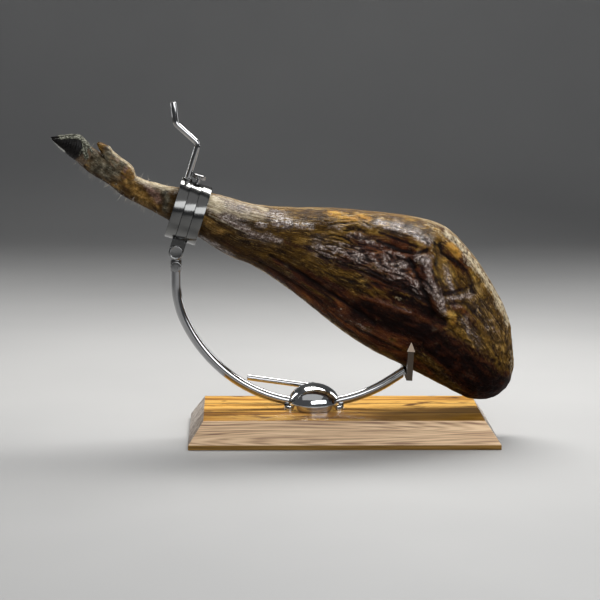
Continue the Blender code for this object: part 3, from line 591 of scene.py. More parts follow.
def grid_mesh(name, grid):
    """Closed mesh over rings of points, capped at both ends."""
    rings, count, _ = grid.shape
    row = np.arange(rings - 1)[:, None] * count
    k = np.arange(count)[None, :]
    after = (k + 1) % count
    quads = np.stack([row + k, row + after, row + count + after, row + count + k], axis=-1)
    faces = quads.reshape(-1, 4).tolist()
    faces.append(list(range(count))[::-1])
    faces.append(list(range((rings - 1) * count, rings * count)))
    return recalculated(mesh_from(name, grid.reshape(-1, 3).tolist(), faces), True)


def grid_normals(grid):
    """Outward unit normals of a grid of rings."""
    along = np.gradient(grid, axis=0)
    around = np.roll(grid, -1, axis=1) - np.roll(grid, 1, axis=1)
    normal = np.cross(along, around)
    normal /= np.linalg.norm(normal, axis=2)[:, :, None] + 1e-12
    outward = grid - grid.mean(axis=1, keepdims=True)
    if (normal * outward).sum() < 0:
        normal = -normal
    return normal


def recalculated(mesh, split_ends=False):
    """A mesh whose faces all look outwards, its many-sided end faces cut into triangles."""
    bm = bmesh.new()
    bm.from_mesh(mesh)
    bmesh.ops.recalc_face_normals(bm, faces=bm.faces)
    if split_ends:
        ends = [face for face in bm.faces if len(face.verts) > 4]
        bmesh.ops.triangulate(bm, faces=ends)
    bm.to_mesh(mesh)
    bm.free()
    return mesh


def placed(name, data, matrix=None):
    """An object in the scene that holds a mesh, a lamp or a camera."""
    obj = bpy.data.objects.new(name, data)
    if matrix is not None:
        obj.matrix_world = matrix
    bpy.context.scene.collection.objects.link(obj)
    return obj


def add_piece(name, mesh, material, body, replaced=()):
    """A visible piece that rides a body and stands for some nodes of the part."""
    piece = placed(name, mesh)
    mesh.materials.clear()
    mesh.materials.append(material)
    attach(piece, body)
    if replaced:
        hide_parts(*replaced)


# ---------------------------------------------------------------- steel and board

def settled(obj):
    """Mesh of an object with its modifiers, in world coordinates; the object goes."""
    bpy.context.view_layer.update()
    graph = bpy.context.evaluated_depsgraph_get()
    mesh = bpy.data.meshes.new_from_object(obj.evaluated_get(graph))
    mesh.transform(obj.matrix_world)
    bpy.data.objects.remove(obj, do_unlink=True)
    return mesh


def cut(mesh, joined=(), removed=()):
    """A mesh after others are joined to it and more are cut out, all in world coordinates."""
    obj = placed("work", mesh)
    helpers = []
    steps = [("UNION", other) for other in joined] + [("DIFFERENCE", other) for other in removed]
    for operation, other in steps:
        helper = placed("cutter", other)
        helpers.append(helper)
        modifier = obj.modifiers.new(operation, "BOOLEAN")
        modifier.operation = operation
        modifier.solver = "EXACT"
        modifier.object = helper
    result = settled(obj)
    for helper in helpers:
        bpy.data.objects.remove(helper, do_unlink=True)
    return result


def beveled(mesh, width, segments, angle_deg):
    """A mesh whose edges sharper than an angle are rounded off."""
    obj = placed("work", mesh)
    modifier = obj.modifiers.new("Bevel", "BEVEL")
    modifier.width = width
    modifier.segments = segments
    modifier.limit_method = "ANGLE"
    modifier.angle_limit = math.radians(angle_deg)
    modifier.use_clamp_overlap = True
    return settled(obj)


def shaded(mesh, angle_deg=30):
    """Smooth shading, except over edges sharper than an angle."""
    mesh.shade_smooth()
    mesh.set_sharp_from_angle(angle=math.radians(angle_deg))
    return mesh


def turned(profile_points, steps, matrix, closed=False):
    """Body of revolution about local Z from (radius, height) points, top to bottom."""
    count = len(profile_points)
    edges = [(k, k + 1) for k in range(count - 1)]
    if closed:
        edges.append((count - 1, 0))
    mesh = bpy.data.meshes.new("turned")
    mesh.from_pydata([(radius, 0, height) for radius, height in profile_points], edges, [])
    obj = placed("work", mesh, matrix)
    screw = obj.modifiers.new("Screw", "SCREW")
    screw.axis = "Z"
    screw.steps = steps
    screw.render_steps = steps
    screw.use_merge_vertices = True
    screw.merge_threshold = 0.00001
    return recalculated(settled(obj))


def cylinder(radius, low, high, steps, matrix, edge=0.0):
    """Round body along local Z, its rims rounded off over the given edge."""
    points = [(0, high), (radius, high), (radius, low), (0, low)]
    return turned(rounded(points, edge) if edge else points, steps, matrix)


def block(low, high, matrix=None):
    """Box between two corners."""
    mesh = bpy.data.meshes.new("block")
    bm = bmesh.new()
    bmesh.ops.create_cube(bm, size=1)
    bmesh.ops.scale(bm, vec=Vector(high) - Vector(low), verts=bm.verts)
    bmesh.ops.translate(bm, vec=(Vector(high) + Vector(low)) / 2, verts=bm.verts)
    if matrix is not None:
        bmesh.ops.transform(bm, matrix=matrix, verts=bm.verts)
    bm.to_mesh(mesh)
    bm.free()
    return mesh


def rounded_path(corners, bend):
    """Points of a polyline whose inner corners are replaced by arcs."""
    points = [Vector(corners[0])]
    for before, corner, after in zip(corners, corners[1:], corners[2:]):
        corner = Vector(corner)
        to_before = (Vector(before) - corner).normalized()
        to_after = (Vector(after) - corner).normalized()
        half = to_before.angle(to_after) / 2
        reach = bend / math.tan(half)
        centre = corner + (to_before + to_after).normalized() * (bend / math.sin(half))
        start = corner + to_before * reach - centre
        turn = start.rotation_difference(corner + to_after * reach - centre)
        for k in range(BEND_STEPS + 1):
            part = turn.copy()
            part.angle = turn.angle * k / BEND_STEPS
            points.append(centre + part @ start)
    points.append(Vector(corners[-1]))
    return points


def rod(points, radius, count, matrix=None, edge=0.0):
    """Round bar along a path in local XZ, its ends rounded off over the given edge."""
    rings = []
    last = len(points) - 1
    for k, point in enumerate(points):
        before = points[max(k - 1, 0)]
        after = points[min(k + 1, last)]
        along = (Vector(after) - Vector(before)).normalized()
        beside = Vector((0, 1, 0))
        up = along.cross(beside).normalized()
        start = k == 0
        finish = k == last
        rows = [(0, 1)]
        if edge and (start or finish):
            rows = [(edge * (1 - math.sin(math.radians(22.5 * n))),
                     1 - edge / radius * (1 - math.cos(math.radians(22.5 * n)))) for n in range(5)]
            rows = rows[::-1] if start else rows
        for inset, share in rows:
            middle = Vector(point) + along * (inset if start else -inset)
            rings.append([middle + (beside * math.cos(2 * math.pi * n / count)
                                    + up * math.sin(2 * math.pi * n / count)) * radius * share
                          for n in range(count)])
    mesh = grid_mesh("rod", np.array(rings))
    if matrix is not None:
        mesh.transform(matrix)
    return mesh


def frame_matrix(origin, x_axis, z_axis):
    """Placement whose local X and Z run along the two given directions."""
    x_axis = Vector(x_axis).normalized()
    z_axis = Vector(z_axis).normalized()
    matrix = Matrix((x_axis, z_axis.cross(x_axis), z_axis)).transposed().to_4x4()
    matrix.translation = Vector(origin)
    return matrix


def ring_directions():
    """The ring's axis towards the butt, and its radial direction at the top."""
    tilt = math.radians(RING_TILT_DEG)
    return Vector((math.cos(tilt), 0, -math.sin(tilt))), Vector((math.sin(tilt), 0, math.cos(tilt)))


def ring_point(axial, radial):
    """World point at a distance along the ring's axis and above it."""
    axis, up = ring_directions()
    return Vector((RING_X, 0, RING_Z)) + axis * axial + up * radial


def ring_matrix():
    """Local Z along the ring's axis, local X up the radius."""
    axis, up = ring_directions()
    return frame_matrix(ring_point(0, 0), up, axis)


def screw_matrix(axial):
    """Origin on the ring's surface, local Z outwards, local X along the ring's axis."""
    axis, up = ring_directions()
    return frame_matrix(ring_point(axial, RING_RADIUS), axis, up)


def cross_matrix(origin):
    """Local Z towards the carved side (-Y), local X along +X."""
    return frame_matrix(origin, (1, 0, 0), (0, -1, 0))


def corner_curve(before, corner, after, radius, steps):
    """Points of the curve that rounds one corner of a profile."""
    corner = Vector(corner)
    back = Vector(before) - corner
    on = Vector(after) - corner
    reach = min(radius, back.length * 0.45, on.length * 0.45)
    start = corner + back.normalized() * reach
    finish = corner + on.normalized() * reach
    points = []
    for k in range(steps + 1):
        u = k / steps
        point = start * (1 - u) ** 2 + corner * 2 * u * (1 - u) + finish * u * u
        points.append((point.x, point.y))
    return points


def rounded(points, radius, closed=False):
    """A (radius, height) profile with rounded corners; an open one keeps its two ends."""
    corners = [points[-1], *points, points[0]] if closed else points
    path = []
    for before, corner, after in zip(corners, corners[1:], corners[2:]):
        path += corner_curve(before, corner, after, radius, 3 if closed else 4)
    return path if closed else [points[0], *path, points[-1]]


def ring_band(loop):
    """Band about the ring's axis from the corners of its section."""
    return turned(rounded(loop, RING_CHAMFER, True), RING_STEPS, ring_matrix(), True)


def four_corners(half_x, half_y, height, middle=0.0):
    """Ring of a rectangle at a height, its middle shifted along Y."""
    return [(-half_x, middle - half_y, height), (half_x, middle - half_y, height),
            (half_x, middle + half_y, height), (-half_x, middle + half_y, height)]


def bent_points(bends, side):
    """Points of the arc from just beside its lowest point, towards side -1 or +1."""
    x = ARC_X
    z = ARC_LOW_Z
    turned_deg = 0
    points = []
    for turn_deg, radius in bends:
        steps = math.ceil(turn_deg / ARC_STEP_DEG)
        for k in range(1, steps + 1):
            start = math.radians(turned_deg)
            end = math.radians(turned_deg + turn_deg * k / steps)
            points.append(Vector((x + side * radius * (math.sin(end) - math.sin(start)), 0,
                                  z + radius * (math.cos(start) - math.cos(end)))))
        x = points[-1].x
        z = points[-1].z
        turned_deg += turn_deg
    return points


def arc_path():
    """Points of the whole arc, from its upright end under the ring to its right end."""
    left = bent_points(ARC_LEFT_BENDS, -1)
    left.append(Vector((left[-1].x, 0, ARC_TOP_Z)))
    right = bent_points(ARC_RIGHT_BENDS, 1)
    heading = math.radians(sum(bend[0] for bend in ARC_RIGHT_BENDS))
    right.append(right[-1] + Vector((math.cos(heading), 0, math.sin(heading))) * ARC_RIGHT_RUN)
    return left[::-1] + [Vector((ARC_X, 0, ARC_LOW_Z))] + right


def channel_path():
    """The part of the arc's circle that lies in the dome."""
    bend = ((CHANNEL_HALF_DEG, ARC_RADIUS),)
    return bent_points(bend, -1)[::-1] + [Vector((ARC_X, 0, ARC_LOW_Z))] + bent_points(bend, 1)


def make_board(material):
    """Board with its sloping edges, every corner slightly rounded."""
    x = BOARD_LENGTH / 2
    y = BOARD_DEPTH / 2
    rings = [
        four_corners(x, y, 0),
        four_corners(x, y, BOARD_EDGE),
        four_corners(x - BOARD_BEVEL_RUN, y - BOARD_BEVEL_RUN, BOARD_HEIGHT),
    ]
    mesh = beveled(grid_mesh("board", np.array(rings)), BOARD_ROUND, 3, 20)
    add_piece("board_planks", shaded(mesh, 50), material, "base", ["board"])


def make_shoe(base):
    """Oblong block with round corners and a rounded top edge, under the dome."""
    x = SHOE_LENGTH / 2 - SHOE_CORNER
    y = SHOE_WIDTH / 2 - SHOE_CORNER
    outline = []
    for quarter, (sx, sy) in enumerate(((1, 1), (-1, 1), (-1, -1), (1, -1))):
        for k in range(11):
            angle = math.radians(90 * quarter + 9 * k)
            outline.append((sx * x, sy * y, math.cos(angle), math.sin(angle)))
    rings = []
    for inset, height in ((0, 0), (0, SHOE_HEIGHT - SHOE_EDGE),
                          (SHOE_EDGE_STEP, SHOE_HEIGHT - SHOE_EDGE_STEP), (SHOE_EDGE, SHOE_HEIGHT)):
        reach = SHOE_CORNER - inset
        rings.append([(DOME_X + cx + reach * dx, cy + reach * dy, base + height)
                      for cx, cy, dx, dy in outline])
    return grid_mesh("shoe", np.array(rings))


def make_dome(material):
    """Dome and shoe with the channel that the arc slides in and the lever's hole."""
    base = BOARD_HEIGHT + GAP / 10
    rows = DOME_STEPS // 4
    shoulder = base + DOME_WALL
    profile_points = [(0, shoulder + DOME_CROWN)]
    for k in range(1, rows + 1):
        angle = math.pi / 2 * (1 - k / rows)
        profile_points.append((DOME_RADIUS * math.cos(angle), shoulder + DOME_CROWN * math.sin(angle)))
    profile_points += [(DOME_RADIUS, base + DOME_RIM), (DOME_RADIUS - DOME_RIM, base), (0, base)]
    place = Matrix.Translation((DOME_X, 0, 0))
    dome = turned(profile_points, DOME_STEPS, place)
    channel = rod(channel_path(), ARC_ROD + CHANNEL_GAP, ROUND_BAR_SIDES)
    half_slot = ARC_ROD * 0.7
    slot = block((-SHOE_LENGTH, -half_slot, base - 2 * MM),
                 (SHOE_LENGTH, half_slot, base + 4 * MM), place)
    hole = cylinder(LEVER_STUD_RADIUS + GAP, 0, LEVER_STUD_LENGTH + 2 * MM, 32,
                    cross_matrix((DOME_X, LEVER_AXIS_Y, LEVER_AXIS_Z)))
    mesh = cut(dome, [make_shoe(base)], [channel, slot, hole])
    add_piece("dome_shell", shaded(mesh), material, "base", ["dome"])


def make_arc(material):
    """The bent bar, cut off square where it meets the fork."""
    arc = rod(arc_path(), ARC_ROD, ROUND_BAR_SIDES)
    left_face = FORK_X - FORK_BAR_WIDTH / 2 - GAP
    trim = block((left_face, -20 * MM, 60 * MM), (left_face + 60 * MM, 20 * MM, 160 * MM))
    mesh = cut(arc, removed=[trim])
    add_piece("arc_bar", shaded(mesh, 35), material, "arc", ["arc_rod"])


def make_fork(material):
    """Cross bar with two upright prongs that end in points."""
    lean = math.radians(FORK_LEAN_DEG)
    matrix = frame_matrix((FORK_X, 0, FORK_Z), (math.cos(lean), 0, -math.sin(lean)),
                          (math.sin(lean), 0, math.cos(lean)))
    half_x = FORK_BAR_WIDTH / 2
    half_thick = FORK_BAR_THICK / 2
    half_y = FORK_HALF_SPAN + half_thick
    bar = block((-half_x, -half_y, 0), (half_x, half_y, FORK_BAR_THICK), matrix)
    prongs = []
    for y in (-FORK_HALF_SPAN, FORK_HALF_SPAN):
        rings = [
            four_corners(half_x, half_thick, 0, y),
            four_corners(half_x, half_thick, FORK_PRONG_HEIGHT, y),
            four_corners(FORK_POINT_WIDTH / 2, half_thick + 1 * MM, FORK_PRONG_HEIGHT + 0.5 * MM, y),
            four_corners(0.3 * MM, 0.3 * MM, FORK_PRONG_HEIGHT + FORK_POINT_HEIGHT, y),
        ]
        prong = grid_mesh("prong", np.array(rings))
        prong.transform(matrix)
        prongs.append(prong)
    mesh = beveled(cut(bar, prongs), FORK_EDGE, 4, 40)
    add_piece("fork_steel", shaded(mesh), material, "arc", ["cradle_fork"])


def make_lever(material):
    """Bar that leaves a hub on a stud in the dome's far side."""
    place = (DOME_X, LEVER_AXIS_Y, LEVER_AXIS_Z)
    half = LEVER_HUB_LENGTH / 2
    stud_end = half + LEVER_STUD_LENGTH - LEVER_STUD_INSET
    points = [
        (0, stud_end),
        (LEVER_STUD_RADIUS, stud_end),
        (LEVER_STUD_RADIUS, half),
        (LEVER_HUB_RADIUS, half),
        (LEVER_HUB_RADIUS, -half),
        (0, -half),
    ]
    hub = turned(rounded(points, LEVER_HUB_EDGE), 64, cross_matrix(place))
    rise = math.radians(LEVER_RISE_DEG)
    along = frame_matrix(place, (0, 1, 0), (-math.cos(rise), 0, math.sin(rise)))
    bar = cylinder(LEVER_RADIUS, LEVER_BAR_START, LEVER_LENGTH, ROUND_BAR_SIDES, along, LEVER_BAR_EDGE)
    mesh = cut(hub, [bar])
    add_piece("lever_bar", shaded(mesh, 35), material, "lever", ["lock_lever"])


def make_sleeve(material):
    """Inner tube with the left band, which carries the clamping crank."""
    half = RING_LENGTH / 2
    shoulder = -HOUSING_HALF - GAP / 2
    sleeve = ring_band([(RING_TUBE, half), (RING_TUBE, shoulder), (RING_RADIUS, shoulder),
                        (RING_RADIUS, -half), (RING_BORE, -half), (RING_BORE, half)])
    matrix = screw_matrix(CRANK_AXIAL)
    boss = cylinder(BOSS_RADIUS, -BOSS_DEPTH, BOSS_HEIGHT, 64, matrix, BOSS_EDGE)
    hole = cylinder(CRANK_RADIUS + GAP, -12 * MM, 8 * MM, 48, matrix)
    mesh = cut(sleeve, [boss], [hole])
    add_piece("clamp_band", shaded(mesh), material, "head", ["clamp_sleeve"])


def make_retaining_band(material):
    """Right band, which keeps the housing on the tube."""
    low = HOUSING_HALF + GAP / 2
    high = RING_LENGTH / 2
    inner = RING_TUBE + GAP
    mesh = ring_band([(RING_RADIUS, high), (RING_RADIUS, low), (inner, low), (inner, high)])
    add_piece("end_band", shaded(mesh), material, "head", ["retaining_band"])


def make_housing(material):
    """Middle band with the forked lug that hangs on the pivot."""
    low = GAP / 2 - HOUSING_HALF
    inner = RING_TUBE + GAP
    housing = ring_band([(RING_RADIUS, -low), (RING_RADIUS, low), (inner, low), (inner, -low)])
    matrix = ring_matrix()
    root = block((-LUG_ROOT_LOW, -LUG_HALF_DEPTH, GAP - HOUSING_HALF),
                 (-LUG_ROOT_HIGH, LUG_HALF_DEPTH, HOUSING_HALF - GAP), matrix)
    body = block((-PIVOT_DROP, -LUG_HALF_DEPTH, -LUG_HALF_WIDTH),
                 (-LUG_TOP, LUG_HALF_DEPTH, LUG_HALF_WIDTH), matrix)
    pivot_place = cross_matrix(ring_point(0, -PIVOT_DROP))
    end = cylinder(LUG_HALF_WIDTH, -LUG_HALF_DEPTH + 0.05 * MM, LUG_HALF_DEPTH - 0.05 * MM, 72,
                   pivot_place)
    slot = block((-PIVOT_DROP - 30 * MM, -SLOT_HALF, -20 * MM),
                 (SLOT_CLEAR - PIVOT_DROP, SLOT_HALF, 20 * MM), matrix)
    pin_hole = cylinder(PIN_RADIUS + GAP, -20 * MM, 20 * MM, 40, pivot_place)
    brake_hole = cylinder(BRAKE_NECK + GAP, -8 * MM, 4 * MM, 32, screw_matrix(0))
    mesh = cut(housing, [root, body, end], [slot, pin_hole, brake_hole])
    add_piece("swivel_band", shaded(mesh), material, "head", ["swivel_housing"])


def make_pin(material):
    """Pivot bolt with a dished head in front and a nut behind."""
    face = LUG_HALF_DEPTH + GAP
    head = face + PIN_HEAD_LENGTH
    rim = PIN_HEAD_RADIUS
    points = [
        (0, head - 0.5 * MM),
        (rim - 3.0 * MM, head - 0.5 * MM),
        (rim - 2.4 * MM, head),
        (rim - 1.4 * MM, head),
        (rim, head - 1.2 * MM),
        (rim, face),
        (PIN_RADIUS, face),
        (PIN_RADIUS, -face),
        (PIN_NUT_RADIUS, -face),
        (PIN_NUT_RADIUS, -face - PIN_NUT_LENGTH),
        (0, -face - PIN_NUT_LENGTH),
    ]
    mesh = turned(rounded(points, PIN_EDGE), 72, cross_matrix(ring_point(0, -PIVOT_DROP)))
    add_piece("pivot_bolt", shaded(mesh), material, "head", ["pivot_pin"])


def make_eye(material):
    """Round fitting on the arc's end whose flat tongue takes the pivot pin."""
    pivot = ring_point(0, -PIVOT_DROP)
    shoulder = pivot.z - EYE_SHOULDER_DROP
    place = Matrix.Translation((pivot.x, 0, 0))
    eye = cylinder(EYE_RADIUS, EYE_BOTTOM, shoulder, 64, place, SCREW_EDGE)
    tongue = block((-TONGUE_HALF_WIDTH, -TONGUE_HALF_THICK, shoulder - 4 * MM),
                   (TONGUE_HALF_WIDTH, TONGUE_HALF_THICK, pivot.z), place)
    pivot_place = cross_matrix(pivot)
    top = cylinder(TONGUE_HALF_WIDTH, -TONGUE_HALF_THICK, TONGUE_HALF_THICK, 64, pivot_place)
    pin_hole = cylinder(PIN_RADIUS + GAP, -9 * MM, 9 * MM, 40, pivot_place)
    screw_hole = cylinder(SET_SCREW_SHANK + GAP, 2 * MM, 12 * MM, 32,
                          cross_matrix((pivot.x, 0, SET_SCREW_Z)))
    mesh = cut(eye, [tongue, top], [pin_hole, screw_hole])
    add_piece("arc_ferrule", shaded(mesh), material, "arc", ["arc_eye"])


def make_set_screw(material):
    """Round-headed screw with a six-sided socket, on the eye's front."""
    face = EYE_RADIUS + GAP
    head = face + SET_SCREW_HEAD
    points = [(0, head), (SET_SCREW_RADIUS, head), (SET_SCREW_RADIUS, face), (SET_SCREW_SHANK, face),
              (SET_SCREW_SHANK, SET_SCREW_TIP), (0, SET_SCREW_TIP)]
    matrix = cross_matrix((ring_point(0, -PIVOT_DROP).x, 0, SET_SCREW_Z))
    screw = turned(rounded(points, SCREW_EDGE), 64, matrix)
    socket = cylinder(SET_SCREW_SOCKET, head - 2.4 * MM, head + 2 * MM, 6, matrix)
    mesh = cut(screw, removed=[socket])
    add_piece("socket_screw", shaded(mesh), material, "arc", ["set_screw"])


def make_crank(material):
    """Cranked bar that screws through the sleeve's boss onto the shank."""
    corners = [
        (0, 0, CRANK_TIP_RADIUS - RING_RADIUS),
        (0, 0, CRANK_RISE),
        (-CRANK_OFFSET, 0, CRANK_KNEE),
        (-CRANK_END_OFFSET, 0, CRANK_END),
    ]
    path = rounded_path(corners, CRANK_BEND)
    mesh = rod(path, CRANK_RADIUS, 40, screw_matrix(CRANK_AXIAL), CRANK_EDGE)
    add_piece("crank_bar", shaded(mesh, 40), material, "crank", ["clamp_crank"])


def make_brake_screw(material):
    """Knurled knob on a neck, on top of the housing."""
    matrix = screw_matrix(0)
    tip = RING_TUBE + 2 * GAP - RING_RADIUS
    neck = cylinder(BRAKE_NECK, tip, BRAKE_HEAD_BASE + 0.5 * MM, 40, matrix)
    angle = np.linspace(0, 2 * math.pi, BRAKE_FLUTES * 8, endpoint=False)
    flutes = BRAKE_FLUTE_DEPTH * (0.5 - 0.5 * np.cos(angle * BRAKE_FLUTES))
    rings = []
    for height, inset in ((BRAKE_HEAD_BASE, 1.0 * MM), (BRAKE_HEAD_BASE + 0.4 * MM, 0.3 * MM),
                          (BRAKE_HEAD_BASE + 1.0 * MM, 0), (BRAKE_HEAD_TOP - 1.0 * MM, 0),
                          (BRAKE_HEAD_TOP - 0.4 * MM, 0.3 * MM), (BRAKE_HEAD_TOP, 1.0 * MM)):
        reach = BRAKE_HEAD_RADIUS - np.maximum(flutes, inset)
        rings.append(np.stack([reach * np.cos(angle), reach * np.sin(angle), 0 * angle + height], -1))
    head = grid_mesh("head", np.array(rings))
    head.transform(matrix)
    mesh = cut(neck, [head])
    add_piece("brake_knob", shaded(mesh), material, "brake", ["brake_screw"])


# ---------------------------------------------------------------- shader graphs

class Graph:
    """Short way of writing a material's nodes."""

    def __init__(self, name):
        self.material = bpy.data.materials.new(name)
        self.material.use_nodes = True
        self.tree = self.material.node_tree
        self.shader = self.tree.nodes["Principled BSDF"]
        self.object = self.node("TexCoord").outputs["Object"]

    def node(self, kind):
        return self.tree.nodes.new("ShaderNode" + kind)

    def put(self, socket, value):
        """Link a socket to another node's output, or set its constant value."""
        if isinstance(value, bpy.types.NodeSocket):
            self.tree.links.new(value, socket)
        elif isinstance(value, tuple) and len(value) == 3 and socket.type == "RGBA":
            socket.default_value = (*value, 1)
        else:
            socket.default_value = value

    def set(self, **inputs):
        """Inputs of the surface shader, with _ for the spaces in their names."""
        for name, value in inputs.items():
            self.put(self.shader.inputs[name.replace("_", " ")], value)

    def turned(self, degrees):
        """Object coordinates turned about Y."""
        node = self.node("VectorRotate")
        node.rotation_type = "Y_AXIS"
        self.put(node.inputs["Angle"], math.radians(degrees))
        self.put(node.inputs["Vector"], self.object)
        return node.outputs["Vector"]

    def split(self, vector):
        node = self.node("SeparateXYZ")
        self.put(node.inputs[0], vector)
        return node.outputs[0], node.outputs[1], node.outputs[2]

    def scaled(self, vector, scale):
        node = self.node("VectorMath")
        node.operation = "MULTIPLY"
        self.put(node.inputs[0], vector)
        self.put(node.inputs[1], scale)
        return node.outputs[0]

    def noise(self, vector, scale, detail=3.0, rough=0.55, distortion=0.0):
        node = self.node("TexNoise")
        self.put(node.inputs["Vector"], vector)
        self.put(node.inputs["Scale"], scale)
        self.put(node.inputs["Detail"], detail)
        self.put(node.inputs["Roughness"], rough)
        self.put(node.inputs["Distortion"], distortion)
        return node.outputs["Fac"]

    def ramp(self, factor, *stops):
        """Colours or grey levels between (position, level) stops."""
        node = self.node("ValToRGB")
        elements = node.color_ramp.elements
        while len(elements) < len(stops):
            elements.new(0.5)
        for element, (position, level) in zip(elements, stops):
            element.position = position
            element.color = (*level, 1) if isinstance(level, tuple) else (level, level, level, 1)
        self.put(node.inputs["Fac"], factor)
        return node.outputs["Color"]

    def mix(self, factor, first, second, blend="MIX"):
        node = self.node("Mix")
        node.data_type = "RGBA"
        node.blend_type = blend
        self.put(node.inputs[0], factor)
        self.put(node.inputs[6], first)
        self.put(node.inputs[7], second)
        return node.outputs[2]

    def math(self, operation, first, second=0.0, clamp=False):
        node = self.node("Math")
        node.operation = operation
        node.use_clamp = clamp
        self.put(node.inputs[0], first)
        self.put(node.inputs[1], second)
        return node.outputs[0]

    def times(self, first, second):
        return self.math("MULTIPLY", first, second)

    def plus(self, first, second, clamp=False):
        return self.math("ADD", first, second, clamp)

    def attribute(self, name):
        """The three channels of a point attribute."""
        node = self.node("Attribute")
        node.attribute_name = name
        split = self.node("SeparateColor")
        self.put(split.inputs[0], node.outputs["Color"])
        return split.outputs[0], split.outputs[1], split.outputs[2]

    def vector(self, name):
        """A point attribute used as texture coordinates."""
        node = self.node("Attribute")
        node.attribute_name = name
        return node.outputs["Vector"]

    def bump(self, height, strength, distance):
        node = self.node("Bump")
        self.put(node.inputs["Height"], height)
        self.put(node.inputs["Strength"], strength)
        self.put(node.inputs["Distance"], distance)
        return node.outputs["Normal"]


def masked(graph, mask, wobble, low, high, spread=0.9):
    """A soft mask whose edge follows a noise."""
    offset = graph.times(graph.math("SUBTRACT", wobble, 0.5), spread)
    shifted = graph.plus(mask, offset)
    return graph.ramp(shifted, (low, 0.0), (high, 1.0))


